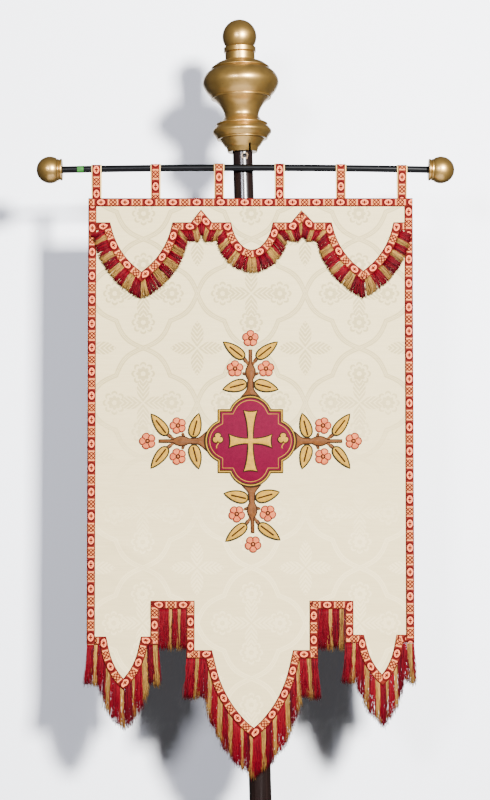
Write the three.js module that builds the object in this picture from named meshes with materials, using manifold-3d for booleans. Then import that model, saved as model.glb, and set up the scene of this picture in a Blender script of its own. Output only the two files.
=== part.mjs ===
// A church banner hung by loops from a crossbar on a turned pole.
// Millimetres, +Z up, the front faces -Y. The origin is the centre of the pole's foot.

import * as THREE from 'three';
import { mergeVertices } from 'three/addons/utils/BufferGeometryUtils.js';
import Module from 'manifold-3d';

const wasm = await Module();
wasm.setup();

// Clearances: between hard pieces, and between cloth layers that bend together. Points nearer than the
// tolerance are one corner.
const GAP = 0.3;
const LAYER_GAP = 0.4;
const MERGE_TOLERANCE = 1e-4;

// Pole: tapered, leaning a little to the left, square-cut at the foot, with an empty peg hole.
const POLE_LEAN = THREE.MathUtils.degToRad(1.57);
const POLE_LENGTH = 1760;
const POLE_FOOT_RADIUS = 22;
const POLE_TOP_RADIUS = 19;
const POLE_SIDES = 24;
const PEG_HOLE = { height: 1733, across: 3.6, radius: 4.5, depth: 9 };

// Finial: turned wood, socketed over the pole's top, with a notch in its base ring.
const FINIAL_BASE = 1742;
const FINIAL_SIDES = 20;
const SOCKET = { radius: 19.8, depth: POLE_LENGTH - FINIAL_BASE + GAP };
const NOTCH = { across: 13.9, width: 4, height: 13 };
const BASE_RING = { foot: 28.5, top: 31.2, height: 9.8 };
const LOWER_BULGE = [
  { up: 11.8, out: 34.3 },
  { up: 24.5, out: 43.4 },
  { up: 28.4, out: 49.4 },
  { up: 40, out: 56.7 },
  { up: 52.7, out: 47.8 },
];
const THROAT = [
  { up: 55.6, out: 48.4 },
  { up: 62.4, out: 37.6 },
  { up: 73.1, out: 33 },
  { up: 91.6, out: 41.5 },
  { up: 104.3, out: 55 },
];
const MAIN_BULGE = [
  { up: 107.2, out: 56.9 },
  { up: 118, out: 66.4 },
  { up: 134.4, out: 73.3 },
  { up: 151, out: 67.5 },
  { up: 163.6, out: 53.2 },
];
const SHOULDER = [
  { up: 165.2, out: 55 },
  { up: 173, out: 44.5 },
  { up: 179.2, out: 28.6 },
];
const NECK_RINGS = [
  { up: 191.8, out: 28.6 },
  { up: 193.6, out: 26.6 },
  { up: 194.6, out: 30.9 },
  { up: 203.5, out: 30.9 },
];
const TOP_BALL = { up: 225, radius: 33 };
const TURNING_STEPS = 7;
const BALL_STEPS = 7;

// Crossbar: a round bar in front of the pole, bowed down a little at both ends.
const BAR_RADIUS = 6.6;
const BAR_SIDES = 12;
const BAR_STEPS = 10;
const BAR_CENTRE_X = -42.4;
const BAR_HEIGHT = 1707.3;
const BAR_DROOP = 3.8;
const BAR_SHOWN = 699.7;

// Ball ends: a collar of two rings and a ball, drilled to take the bar.
const BALL = { radius: 25.7, centre: 23.6, sides: 16 };
const COLLAR = { radius: 20.7, length: 10.3, groove: 1.6 };
const BALL_SOCKET = { radius: 7.2, depth: 14 };

// Panel: its top edge hangs level under the bar.
const PANEL_CENTRE_X = -32.7;
const PANEL_TOP = 1648.4;
const PANEL_HALF_WIDTH = 309.5;
const PANEL_THICKNESS = 1.5;
const PANEL_ROWS = 19;
const DROP_ROWS = 4;
const SLOT_TOP = -781;
const SLOT_COLUMNS = 2;

// Hem: three drops, each a level edge with a pointed lobe; slots part them. Heights from the top edge.
const HEM = [
  { name: 'left_lappet', left: -309.5, right: -173.3, edge: -848.3, from: -284.9, to: -194.3,
    tipX: -239.9, tip: -933 },
  { name: 'tongue', left: -121.3, right: 127.2, edge: -874, from: -84.7, to: 92.7,
    tipX: 6.4, tip: -1024.5 },
  { name: 'right_lappet', left: 178.8, right: 309.5, edge: -845, from: 202.3, to: 288.5,
    tipX: 249.4, tip: -925.5 },
];
const LOBE_STEPS = 5;
const LOBE_FULLNESS = { across: 0.2, down: 0.64 };

// Valance line: scallops and peaks of braid on the face of the panel, along its upper edge.
const VALANCE_LEVEL = -46.4;
const VALANCE = [
  { form: 'pointed', left: -267.5, right: -148.7, tipX: -207.7, tip: -141 },
  { form: 'peak', left: -113.6, right: -73.2, tipX: -94.4, tip: -21.7 },
  { form: 'round', left: -36.9, right: 42.7, tipX: 2.2, tip: -99.2 },
  { form: 'peak', left: 77.4, right: 120.2, tipX: 97.1, tip: -23 },
  { form: 'pointed', left: 154.9, right: 272.9, tipX: 214.8, tip: -139.2 },
];
const ROUND_FULLNESS = { side: 0.1, sideDown: 0.54, floor: 0.56 };

// Broad folds of the hung panel: where, which way they run, how far they reach, and how deep. They start
// below the top edge, which the loops hold straight.
const SLACK = { from: 15.6, to: 78 };
const FOLDS = [
  { x: -215, z: -690, turn: -25, length: 130, breadth: 72, depth: 2.6 },
  { x: -240, z: -905, turn: 0, length: 85, breadth: 85, depth: 2.4 },
  { x: 228, z: -245, turn: 42, length: 140, breadth: 72, depth: -2.2 },
  { x: 262, z: -95, turn: -35, length: 110, breadth: 72, depth: 1.8 },
  { x: 10, z: -985, turn: 90, length: 120, breadth: 90, depth: 2.4 },
  { x: 250, z: -860, turn: 20, length: 110, breadth: 80, depth: -1.6 },
  { x: 130, z: -700, turn: 60, length: 150, breadth: 75, depth: 1.4 },
];

// Braid and the loops that carry the panel.
const BRAID_WIDTH = 15.6;
const BRAID_THICKNESS = 1.2;
const BRAID_STEP = 27;
const TAB_WIDTH = 19;
const TAB_THICKNESS = 1.2;
const TAB_OVERLAP = 14;
const TAB_RISE = 2;
const TAB_STEPS = 10;
const TAB_CENTRES = [-294, -181.2, -59.9, 55.6, 172.7, 289.3];

// Fringe: locks rooted in a narrow heading; depths run from the middle of the cloth to the front.
const HEADING_WIDTH = 3;
const RAGGED_BEAT = { quick: 2.4, slow: 0.7 };
const HEM_FRINGE = { pitch: 4.2, length: 73, ragged: 2.2, flare: 0.05, parting: 0.12, sideGap: 1 };
const HEM_FRINGE_DEPTHS = [
  { along: 0, back: -0.6, front: 1.8 },
  { along: 1, back: -0.5, front: 2.1 },
];
const VALANCE_FRINGE = { pitch: 10.4, shortest: 23, longest: 32, ragged: 1.2, parting: 0.09, sideGap: 6,
  spread: 32 };
const VALANCE_FRINGE_DEPTHS = [
  { along: 0, back: 1.15, front: 2.6 },
  { along: 0.12, back: 2.75, front: 5 },
  { along: 1, back: 2.75, front: 4.6 },
];

// Applied floral cross: a barbed quatrefoil with four sprigs.
const MOTIF_THICKNESS = 1.2;
const MEDALLION = { x: 0, z: -463.6, halfWidth: 62, halfHeight: 60.5, lobeRadius: 42, lobeOut: 44.6,
  thickness: 1.5 };
const MEDALLION_CROSS = { halfHeight: 58, halfWidth: 41, waist: 5, flare: 13, cup: 4, bend: 0.6,
  thickness: 1 };
const TREFOIL = { across: 62, up: 5, radius: 10.5, waist: 0.5, petals: 3, stepsPerPetal: 8, tail: 19,
  tailWidth: 3, thickness: 1 };
const FLOWER = { radius: 15.7, waist: 0.7, petals: 5, stepsPerPetal: 5 };
const FLOWER_PLACES = [
  { name: 'end', out: 195.3, across: 0 },
  { name: 'left', out: 137.5, across: -29.4 },
  { name: 'right', out: 137.5, across: 29.4 },
];
const SPRIGS = [
  { name: 'top', turn: 0 },
  { name: 'left', turn: 90 },
  { name: 'bottom', turn: 181.4 },
  { name: 'right', turn: 270 },
];
const LEAVES = [
  { base: { out: 158, across: 12 }, tip: { out: 188.5, across: 51.5 }, width: 20 },
  { base: { out: 109.6, across: 7.5 }, tip: { out: 98, across: 52.5 }, width: 22 },
];
const LEAF_FULLNESS = { heel: 0.02, heelSwell: 0.72, shoulder: 0.62, shoulderSwell: 0.62 };
const BRANCHES = [
  { from: { out: 141, across: 0 }, to: { out: 163, across: 17 }, width: 5.4 },
  { from: { out: 110, across: 0 }, to: { out: 109, across: 13 }, width: 3.6 },
  { from: { out: 124, across: 2 }, to: { out: 129, across: 14.5 }, width: 3.4 },
];
const STEM = { footGap: 0.9, flareAngle: 26, neckOut: 101, neckHalf: 5.6, bulbStart: 117,
  bulbStartHalf: 4.6, bulbOut: 132, bulbHalf: 14.4, bulbEnd: 147, topHalf: 2.7, topOut: 173.5 };
const SHAPE_STEPS = 4;

const FINISHES = {
  damask: { color: '#e6dfcd', roughness: 0.7, metalness: 0 },
  braid: { color: '#c9695a', roughness: 0.75, metalness: 0 },
  fringe: { color: '#9c1230', roughness: 0.65, metalness: 0 },
  goldSilk: { color: '#dcbf7c', roughness: 0.6, metalness: 0 },
  pinkSilk: { color: '#e29a80', roughness: 0.6, metalness: 0 },
  crimsonSilk: { color: '#ad0c38', roughness: 0.7, metalness: 0 },
  gilding: { color: '#8d7142', roughness: 0.35, metalness: 0.7 },
  lacquer: { color: '#2a211f', roughness: 0.3, metalness: 0 },
  blackPaint: { color: '#15171a', roughness: 0.4, metalness: 0 },
};

const banner = new THREE.Group();
const cloth = new THREE.Group();
const mast = new THREE.Group();
banner.add(cloth, mast);

function addPiece(group, name, geometry, finish) {
  const piece = new THREE.Mesh(geometry, new THREE.MeshStandardMaterial(FINISHES[finish]));
  piece.name = name;
  group.add(piece);
  return piece;
}

// How far the hung panel stands forward of its flat plane; the top edge stays straight.
function foldDepth(x, z) {
  const slack = THREE.MathUtils.smoothstep(-z, SLACK.from, SLACK.to);
  let depth = 0;
  for (const fold of FOLDS) {
    const turn = THREE.MathUtils.degToRad(fold.turn);
    const along = (x - fold.x) * Math.cos(turn) + (z - fold.z) * Math.sin(turn);
    const across = (z - fold.z) * Math.cos(turn) - (x - fold.x) * Math.sin(turn);
    depth += fold.depth * Math.exp(-((along / fold.length) ** 2) - (across / fold.breadth) ** 2);
  }
  return depth * slack;
}

// A place on the cloth: across, up, and how far in front of the panel's middle.
function clothPoint(x, z, front) {
  return [x, -(front + foldDepth(x, z)), z];
}

function indexedGeometry(position, index) {
  const geometry = new THREE.BufferGeometry();
  geometry.setAttribute('position', new THREE.Float32BufferAttribute(position, 3));
  geometry.setIndex(index);
  return geometry;
}

function quad(index, a, b, c, d) {
  index.push(a, b, c, a, c, d);
}

// Manifold solids, for joins and cuts.
function toManifold(geometry) {
  const bare = new THREE.BufferGeometry();
  bare.setAttribute('position', geometry.getAttribute('position'));
  bare.setIndex(geometry.getIndex());
  const merged = mergeVertices(bare, MERGE_TOLERANCE);
  return new wasm.Manifold(new wasm.Mesh({
    numProp: 3,
    vertProperties: new Float32Array(merged.getAttribute('position').array),
    triVerts: new Uint32Array(merged.getIndex().array),
  }));
}

function fromManifold(solid) {
  const mesh = solid.getMesh();
  return indexedGeometry([...mesh.vertProperties], [...mesh.triVerts]);
}

// A path moved sideways with mitred corners; a positive distance is to the right of travel.
function rightNormal(from, to) {
  const way = to.clone().sub(from).normalize();
  return new THREE.Vector2(way.y, -way.x);
}

function offsetPath(path, distance) {
  const last = path.length - 1;
  return path.map((point, i) => {
    const before = rightNormal(path[Math.max(i - 1, 0)], path[Math.max(i, 1)]);
    const after = rightNormal(path[Math.min(i, last - 1)], path[Math.min(i + 1, last)]);
    const mitre = before.add(after);
    return point.clone().addScaledVector(mitre, (2 * distance) / mitre.lengthSq());
  });
}

// Rungs between two matching paths, each step of them parted as often as asked.
function ladder(near, far, partsIn) {
  const rungs = [{ near: near[0], far: far[0] }];
  for (let i = 1; i < near.length; i += 1) {
    const parts = Math.max(1, Math.round(partsIn(near[i - 1], near[i])));
    for (let k = 1; k <= parts; k += 1) {
      rungs.push({
        near: near[i - 1].clone().lerp(near[i], k / parts),
        far: far[i - 1].clone().lerp(far[i], k / parts),
      });
    }
  }
  return rungs;
}

// A sheet of even thickness from flat triangles, bent to the hung cloth.
function sheetSolid(points, faces, back, thickness) {
  const count = points.length;
  const position = [];
  for (const front of [back + thickness, back]) {
    for (const point of points) {
      position.push(...clothPoint(point.x, point.y, front));
    }
  }
  const index = [];
  const edges = new Map();
  for (const face of faces) {
    const [p, q, r] = face.map((i) => points[i]);
    const turnsLeft = (q.x - p.x) * (r.y - p.y) - (q.y - p.y) * (r.x - p.x) > 0;
    const [a, b, c] = turnsLeft ? face : [face[0], face[2], face[1]];
    index.push(a, b, c, a + count, c + count, b + count);
    for (const [from, to] of [[a, b], [b, c], [c, a]]) {
      edges.set(`${from},${to}`, [from, to]);
    }
  }
  for (const [from, to] of edges.values()) {
    if (!edges.has(`${to},${from}`)) {
      quad(index, to, from, from + count, to + count);
    }
  }
  return indexedGeometry(position, index);
}

// A braid of even width laid along a path on the face of the panel.
function braidSolid(path, width) {
  const rungs = ladder(path, offsetPath(path, width), (from, to) => to.distanceTo(from) / BRAID_STEP);
  const points = [...rungs.map((rung) => rung.near), ...rungs.map((rung) => rung.far)];
  const faces = [];
  for (let i = 0; i + 1 < rungs.length; i += 1) {
    faces.push([i, i + 1, i + 1 + rungs.length], [i, i + 1 + rungs.length, i + rungs.length]);
  }
  return sheetSolid(points, faces, PANEL_THICKNESS / 2 + LAYER_GAP, BRAID_THICKNESS);
}

// A flat shape cut out, turned about the medallion's centre and laid on the cloth.
function layOnCloth(geometry, back, turnDegrees = 0) {
  const turn = THREE.MathUtils.degToRad(turnDegrees);
  const position = geometry.getAttribute('position');
  for (let i = 0; i < position.count; i += 1) {
    const across = position.getX(i);
    const out = position.getY(i);
    const x = MEDALLION.x + across * Math.cos(turn) - out * Math.sin(turn);
    const z = MEDALLION.z + across * Math.sin(turn) + out * Math.cos(turn);
    position.setXYZ(i, ...clothPoint(x, z, back + position.getZ(i)));
  }
  return geometry;
}

function cutShape(shape, thickness) {
  const options = { depth: thickness, bevelEnabled: false, curveSegments: SHAPE_STEPS };
  return new THREE.ExtrudeGeometry(shape, options);
}

// Outlines of the hem and the valance line, from left to right.
function lobeSide(path, from, to) {
  const steepEnd = from.edge ? from : to;
  const tipEnd = from.edge ? to : from;
  path.quadraticCurveTo(
    THREE.MathUtils.lerp(steepEnd.x, tipEnd.x, LOBE_FULLNESS.across),
    THREE.MathUtils.lerp(steepEnd.z, tipEnd.z, LOBE_FULLNESS.down),
    to.x,
    to.z,
  );
}

function pointedLobe(path, left, right, level, tipX, tipZ) {
  const start = { x: left, z: level, edge: true };
  const tip = { x: tipX, z: tipZ };
  lobeSide(path, start, tip);
  lobeSide(path, tip, { x: right, z: level, edge: true });
}

function hemPath(drop, inset) {
  const path = new THREE.Path();
  path.moveTo(drop.left + inset.left, drop.edge);
  path.lineTo(drop.from, drop.edge);
  pointedLobe(path, drop.from, drop.to, drop.edge, drop.tipX, drop.tip);
  path.lineTo(drop.right - inset.right, drop.edge);
  return path.getPoints(LOBE_STEPS);
}

function roundScallop(path, row) {
  const { side, sideDown, floor } = ROUND_FULLNESS;
  const sideZ = THREE.MathUtils.lerp(VALANCE_LEVEL, row.tip, sideDown);
  const near = (from, share) => THREE.MathUtils.lerp(from, row.tipX, share);
  const { left, right, tipX, tip } = row;
  path.bezierCurveTo(near(left, side), sideZ, near(left, floor), tip, tipX, tip);
  path.bezierCurveTo(near(right, floor), tip, near(right, side), sideZ, right, VALANCE_LEVEL);
}

function valancePath(inset) {
  const path = new THREE.Path();
  path.moveTo(-PANEL_HALF_WIDTH + BRAID_WIDTH + inset, VALANCE_LEVEL);
  for (const row of VALANCE) {
    path.lineTo(row.left, VALANCE_LEVEL);
    if (row.form === 'pointed') {
      pointedLobe(path, row.left, row.right, VALANCE_LEVEL, row.tipX, row.tip);
    } else if (row.form === 'round') {
      roundScallop(path, row);
    } else {
      path.lineTo(row.tipX, row.tip);
      path.lineTo(row.right, VALANCE_LEVEL);
    }
  }
  path.lineTo(PANEL_HALF_WIDTH - BRAID_WIDTH - inset, VALANCE_LEVEL);
  return path.getPoints(LOBE_STEPS);
}

// Panel: an even grid down to the slots, then one grid for each drop down to its hem.
function panelSolid() {
  const points = [];
  const known = new Map();
  const faces = [];
  const pointAt = (x, z) => {
    const key = `${x.toFixed(3)},${z.toFixed(3)}`;
    if (!known.has(key)) {
      known.set(key, points.length);
      points.push(new THREE.Vector2(x, z));
    }
    return known.get(key);
  };
  const addGrid = (lowerEdge, top, rows) => {
    const columns = lowerEdge.map((low) => Array.from({ length: rows + 1 }, (_, row) => (
      pointAt(low.x, THREE.MathUtils.lerp(top, low.y, row / rows))
    )));
    for (let c = 0; c + 1 < columns.length; c += 1) {
      for (let row = 0; row < rows; row += 1) {
        const [a, b] = [columns[c][row], columns[c + 1][row]];
        const [d, e] = [columns[c][row + 1], columns[c + 1][row + 1]];
        faces.push([a, d, e], [a, e, b]);
      }
    }
  };
  const drops = HEM.map((drop) => hemPath(drop, { left: 0, right: 0 }));
  const slotLine = [];
  drops.forEach((edge, i) => {
    slotLine.push(...edge.map((point) => new THREE.Vector2(point.x, SLOT_TOP)));
    if (i + 1 < drops.length) {
      const width = HEM[i + 1].left - HEM[i].right;
      for (let k = 1; k < SLOT_COLUMNS; k += 1) {
        slotLine.push(new THREE.Vector2(HEM[i].right + (width * k) / SLOT_COLUMNS, SLOT_TOP));
      }
    }
  });
  addGrid(slotLine, 0, PANEL_ROWS);
  for (const edge of drops) {
    addGrid(edge, SLOT_TOP, DROP_ROWS);
  }
  return sheetSolid(points, faces, -PANEL_THICKNESS / 2, PANEL_THICKNESS);
}

// The hem's braid runs along all three drops and up round both slots.
function hemBraidPath() {
  const cornerGap = BRAID_WIDTH + GAP;
  const path = [];
  HEM.forEach((drop, i) => {
    const inset = { left: i === 0 ? cornerGap : 0, right: i === HEM.length - 1 ? cornerGap : 0 };
    path.push(...hemPath(drop, inset));
    if (i + 1 < HEM.length) {
      path.push(new THREE.Vector2(drop.right, SLOT_TOP), new THREE.Vector2(HEM[i + 1].left, SLOT_TOP));
    }
  });
  return path;
}

// Rungs across a fringe heading, from its upper to its lower side; a lock hangs between each two.
function headingRungs(edge, locksIn) {
  return ladder(offsetPath(edge, GAP), offsetPath(edge, GAP + HEADING_WIDTH), locksIn);
}

// A heading strip with one four-sided lock hanging between each two rungs.
function fringeSolid(rungs, depths, parting) {
  const position = [];
  const index = [];
  const corner = (point, front) => {
    position.push(...clothPoint(point.x, point.y, front));
    return position.length / 3 - 1;
  };
  const root = depths[0];
  const rows = rungs.map(({ near, far }) => ({
    highFront: corner(near, root.front),
    highBack: corner(near, root.back),
    lowFront: corner(far, root.front),
    lowBack: corner(far, root.back),
  }));
  for (let i = 0; i + 1 < rungs.length; i += 1) {
    const [a, b] = [rows[i], rows[i + 1]];
    quad(index, a.lowFront, b.lowFront, b.highFront, a.highFront);
    quad(index, b.lowBack, a.lowBack, a.highBack, b.highBack);
    quad(index, a.highFront, b.highFront, b.highBack, a.highBack);
    let ring = [a.lowFront, b.lowFront, b.lowBack, a.lowBack];
    for (const section of depths.slice(1)) {
      const [left, right] = [rungs[i], rungs[i + 1]].map((rung) => rung.far.clone()
        .addScaledVector(rung.way, section.along)
        .addScaledVector(rungs[i].ragged, section.along));
      const inner = left.clone().lerp(right, parting);
      const outer = right.clone().lerp(left, parting);
      const next = [
        corner(inner, section.front),
        corner(outer, section.front),
        corner(outer, section.back),
        corner(inner, section.back),
      ];
      for (let k = 0; k < ring.length; k += 1) {
        const m = (k + 1) % ring.length;
        quad(index, next[k], next[m], ring[m], ring[k]);
      }
      ring = next;
    }
    quad(index, ring[3], ring[2], ring[1], ring[0]);
  }
  const first = rows[0];
  const last = rows[rows.length - 1];
  quad(index, first.lowFront, first.highFront, first.highBack, first.lowBack);
  quad(index, last.highFront, last.lowFront, last.lowBack, last.highBack);
  return indexedGeometry(position, index);
}

// Uneven lock ends, the same every time.
function raggedEnd(i, amount) {
  return new THREE.Vector2(0, amount * Math.sin(i * RAGGED_BEAT.quick) * Math.cos(i * RAGGED_BEAT.slow));
}

function hemFringe(edge, flare) {
  const rungs = headingRungs(edge, (from, to) => Math.abs(to.x - from.x) / HEM_FRINGE.pitch);
  const middle = (edge[0].x + edge[edge.length - 1].x) / 2;
  const halfWidth = edge[edge.length - 1].x - middle;
  rungs.forEach((rung, i) => {
    const lean = (flare * (rung.far.x - middle)) / halfWidth;
    rung.way = new THREE.Vector2(lean, -1).multiplyScalar(HEM_FRINGE.length);
    rung.ragged = raggedEnd(i, HEM_FRINGE.ragged);
  });
  return fringeSolid(rungs, HEM_FRINGE_DEPTHS, HEM_FRINGE.parting);
}

// The valance's fringe fans out square to its braid, eased round the corners, longest at the tips.
function valanceFringe() {
  const edge = offsetPath(valancePath(VALANCE_FRINGE.sideGap), BRAID_WIDTH);
  const rungs = headingRungs(edge, (from, to) => to.distanceTo(from) / VALANCE_FRINGE.pitch);
  const steps = [];
  let travelled = 0;
  rungs.forEach((rung, i) => {
    rung.travelled = travelled;
    if (i + 1 < rungs.length) {
      const length = rung.far.distanceTo(rungs[i + 1].far);
      const normal = rightNormal(rung.far, rungs[i + 1].far);
      steps.push({ middle: travelled + length / 2, length, normal });
      travelled += length;
    }
  });
  const highest = VALANCE_LEVEL - BRAID_WIDTH;
  const deepest = Math.min(...edge.map((point) => point.y));
  rungs.forEach((rung, i) => {
    const way = new THREE.Vector2();
    for (const step of steps) {
      const share = 1 - Math.abs(step.middle - rung.travelled) / (2 * VALANCE_FRINGE.spread);
      way.addScaledVector(step.normal, step.length * Math.max(0, share));
    }
    const fall = THREE.MathUtils.clamp((highest - rung.far.y) / (highest - deepest), 0, 1);
    const length = THREE.MathUtils.lerp(VALANCE_FRINGE.shortest, VALANCE_FRINGE.longest, fall);
    rung.way = way.normalize().multiplyScalar(length);
    rung.ragged = raggedEnd(i, VALANCE_FRINGE.ragged);
  });
  return fringeSolid(rungs, VALANCE_FRINGE_DEPTHS, VALANCE_FRINGE.parting);
}

// A loop of braid over the bar, both ends behind the panel's top edge.
function barHeightAt(x) {
  const share = (x - BAR_CENTRE_X) / (BAR_SHOWN / 2);
  return BAR_HEIGHT - BAR_DROOP * share * share;
}

function tabSolid(centre) {
  const axis = new THREE.Vector2(0, barHeightAt(PANEL_CENTRE_X + centre) - PANEL_TOP);
  const radius = BAR_RADIUS + GAP + TAB_THICKNESS / 2;
  const frontLeg = -(PANEL_THICKNESS / 2 + LAYER_GAP + TAB_THICKNESS / 2);
  const backLeg = frontLeg - TAB_THICKNESS - LAYER_GAP;
  const tangentAngle = (leg, side) => {
    const away = new THREE.Vector2(leg, TAB_RISE).sub(axis);
    return Math.atan2(away.y, away.x) + side * Math.acos(radius / away.length());
  };
  const start = tangentAngle(frontLeg, 1);
  const end = tangentAngle(backLeg, -1) + 2 * Math.PI;
  const middle = [new THREE.Vector2(frontLeg, -TAB_OVERLAP), new THREE.Vector2(frontLeg, TAB_RISE)];
  for (let k = 0; k <= TAB_STEPS; k += 1) {
    const angle = THREE.MathUtils.lerp(start, end, k / TAB_STEPS);
    middle.push(new THREE.Vector2(Math.cos(angle), Math.sin(angle)).multiplyScalar(radius).add(axis));
  }
  middle.push(new THREE.Vector2(backLeg, TAB_RISE), new THREE.Vector2(backLeg, -TAB_OVERLAP));
  const outside = offsetPath(middle, TAB_THICKNESS / 2);
  const inside = offsetPath(middle, -TAB_THICKNESS / 2);
  const section = new THREE.Shape([...outside, ...inside.reverse()]);
  const geometry = new THREE.ExtrudeGeometry(section, { depth: TAB_WIDTH, bevelEnabled: false });
  const toCloth = new THREE.Matrix4().makeBasis(
    new THREE.Vector3(0, -1, 0),
    new THREE.Vector3(0, 0, 1),
    new THREE.Vector3(-1, 0, 0),
  );
  return geometry.applyMatrix4(toCloth).translate(centre + TAB_WIDTH / 2, 0, 0);
}

// Parts of the floral cross.
function petalShape(petals, radius, waist, steps) {
  const count = petals * steps;
  const points = Array.from({ length: count }, (_, i) => {
    const angle = (2 * Math.PI * i) / count;
    const swell = Math.sqrt(Math.abs(Math.cos((petals * angle) / 2)));
    const reach = radius * THREE.MathUtils.lerp(waist, 1, swell);
    return new THREE.Vector2(-reach * Math.sin(angle), reach * Math.cos(angle));
  });
  return new THREE.Shape(points);
}

function leafShape(length, width) {
  const leaf = new THREE.Shape();
  leaf.moveTo(0, 0);
  const { heel, heelSwell, shoulder, shoulderSwell } = LEAF_FULLNESS;
  const heelAlong = heel * length;
  const heelSide = heelSwell * width;
  const shoulderAlong = shoulder * length;
  const shoulderSide = shoulderSwell * width;
  leaf.bezierCurveTo(heelAlong, -heelSide, shoulderAlong, -shoulderSide, length, 0);
  leaf.bezierCurveTo(shoulderAlong, shoulderSide, heelAlong, heelSide, 0, 0);
  return leaf;
}

function strapShape(length, width) {
  const half = width / 2;
  return new THREE.Shape([[0, -half], [length, -half], [length, half], [0, half]].map(
    ([along, side]) => new THREE.Vector2(along, side),
  ));
}

// Lays a shape drawn along +X from one place on a sprig to another, on the left or right side.
function between(geometry, from, to, side) {
  const rise = to.out - from.out;
  const run = (to.across - from.across) * side;
  return geometry.rotateZ(Math.atan2(rise, run)).translate(from.across * side, from.out, 0);
}

function distanceAlong(from, to) {
  return Math.hypot(to.out - from.out, to.across - from.across);
}

function stemShape() {
  const flare = THREE.MathUtils.degToRad(STEM.flareAngle);
  const quarter = Math.PI / 2;
  const foot = MEDALLION.lobeRadius + STEM.footGap;
  const stem = new THREE.Shape();
  stem.absarc(0, MEDALLION.lobeOut, foot, quarter + flare, quarter - flare, true);
  stem.quadraticCurveTo(STEM.neckHalf, STEM.neckOut - STEM.neckHalf, STEM.neckHalf, STEM.neckOut);
  stem.lineTo(STEM.bulbStartHalf, STEM.bulbStart);
  stem.quadraticCurveTo(STEM.bulbHalf, STEM.bulbOut, STEM.topHalf, STEM.bulbEnd);
  stem.lineTo(STEM.topHalf, STEM.topOut);
  stem.lineTo(-STEM.topHalf, STEM.topOut);
  stem.lineTo(-STEM.topHalf, STEM.bulbEnd);
  stem.quadraticCurveTo(-STEM.bulbHalf, STEM.bulbOut, -STEM.bulbStartHalf, STEM.bulbStart);
  stem.lineTo(-STEM.neckHalf, STEM.neckOut);
  stem.quadraticCurveTo(-STEM.neckHalf, STEM.neckOut - STEM.neckHalf, -foot * Math.sin(flare),
    MEDALLION.lobeOut + foot * Math.cos(flare));
  return stem;
}

function sprigSolid() {
  let sprig = toManifold(cutShape(stemShape(), MOTIF_THICKNESS));
  for (const side of [-1, 1]) {
    for (const { from, to, width } of BRANCHES) {
      const strap = cutShape(strapShape(distanceAlong(from, to), width), MOTIF_THICKNESS);
      sprig = sprig.add(toManifold(between(strap, from, to, side)));
    }
    for (const { base, tip, width } of LEAVES) {
      const leaf = cutShape(leafShape(distanceAlong(base, tip), width), MOTIF_THICKNESS);
      sprig = sprig.add(toManifold(between(leaf, base, tip, side)));
    }
  }
  return fromManifold(sprig);
}

function medallionShape() {
  const { halfWidth, halfHeight, lobeRadius, lobeOut } = MEDALLION;
  const shape = new THREE.Shape();
  const lobe = (turn, edge) => {
    const open = Math.acos((edge - lobeOut) / lobeRadius);
    shape.absarc(lobeOut * Math.cos(turn), lobeOut * Math.sin(turn), lobeRadius, turn - open, turn + open);
  };
  const quarter = Math.PI / 2;
  lobe(0, halfWidth);
  shape.lineTo(halfWidth, halfHeight);
  lobe(quarter, halfHeight);
  shape.lineTo(-halfWidth, halfHeight);
  lobe(2 * quarter, halfWidth);
  shape.lineTo(-halfWidth, -halfHeight);
  lobe(3 * quarter, halfHeight);
  shape.lineTo(halfWidth, -halfHeight);
  return shape;
}

// A plain cross with flared, slightly hollowed arm ends.
function medallionCrossShape() {
  const { halfHeight, halfWidth, waist, flare, cup, bend } = MEDALLION_CROSS;
  const shape = new THREE.Shape();
  const arms = [
    { turn: 0, reach: halfWidth },
    { turn: Math.PI / 2, reach: halfHeight },
    { turn: Math.PI, reach: halfWidth },
    { turn: 1.5 * Math.PI, reach: halfHeight },
  ];
  const centre = new THREE.Vector2();
  const place = (turn, along, side) => new THREE.Vector2(along, side).rotateAround(centre, turn);
  const start = place(0, waist, -waist);
  shape.moveTo(start.x, start.y);
  for (const { turn, reach } of arms) {
    const lowBend = place(turn, reach * bend, -waist);
    const low = place(turn, reach, -flare);
    const hollow = place(turn, reach - cup, 0);
    const high = place(turn, reach, flare);
    const highBend = place(turn, reach * bend, waist);
    const crotch = place(turn, waist, waist);
    shape.quadraticCurveTo(lowBend.x, lowBend.y, low.x, low.y);
    shape.quadraticCurveTo(hollow.x, hollow.y, high.x, high.y);
    shape.quadraticCurveTo(highBend.x, highBend.y, crotch.x, crotch.y);
  }
  return shape;
}

function trefoilSolid() {
  const { petals, radius, waist, stepsPerPetal, tail, tailWidth, thickness } = TREFOIL;
  const head = cutShape(petalShape(petals, radius, waist, stepsPerPetal), thickness);
  const stalk = cutShape(strapShape(tail, tailWidth), thickness).rotateZ(-Math.PI / 2);
  return fromManifold(toManifold(head).add(toManifold(stalk)));
}

// Turned pieces: a profile of radius and height, spun about +Z.
function turnedSolid(profile, sides) {
  return new THREE.LatheGeometry(profile, sides).rotateX(Math.PI / 2);
}

function smoothTurning(rows) {
  const curve = new THREE.SplineCurve(rows.map((row) => new THREE.Vector2(row.out, row.up)));
  return curve.getPoints(TURNING_STEPS);
}

// A ball's outline from its seat on a neck at the given height to its crown on the axis.
function ballTurning(centre, radius, seatUp) {
  const seat = Math.asin((seatUp - centre) / radius);
  const points = new THREE.EllipseCurve(0, centre, radius, radius, seat, Math.PI / 2).getPoints(BALL_STEPS);
  points[BALL_STEPS].x = 0;
  return points;
}

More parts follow.
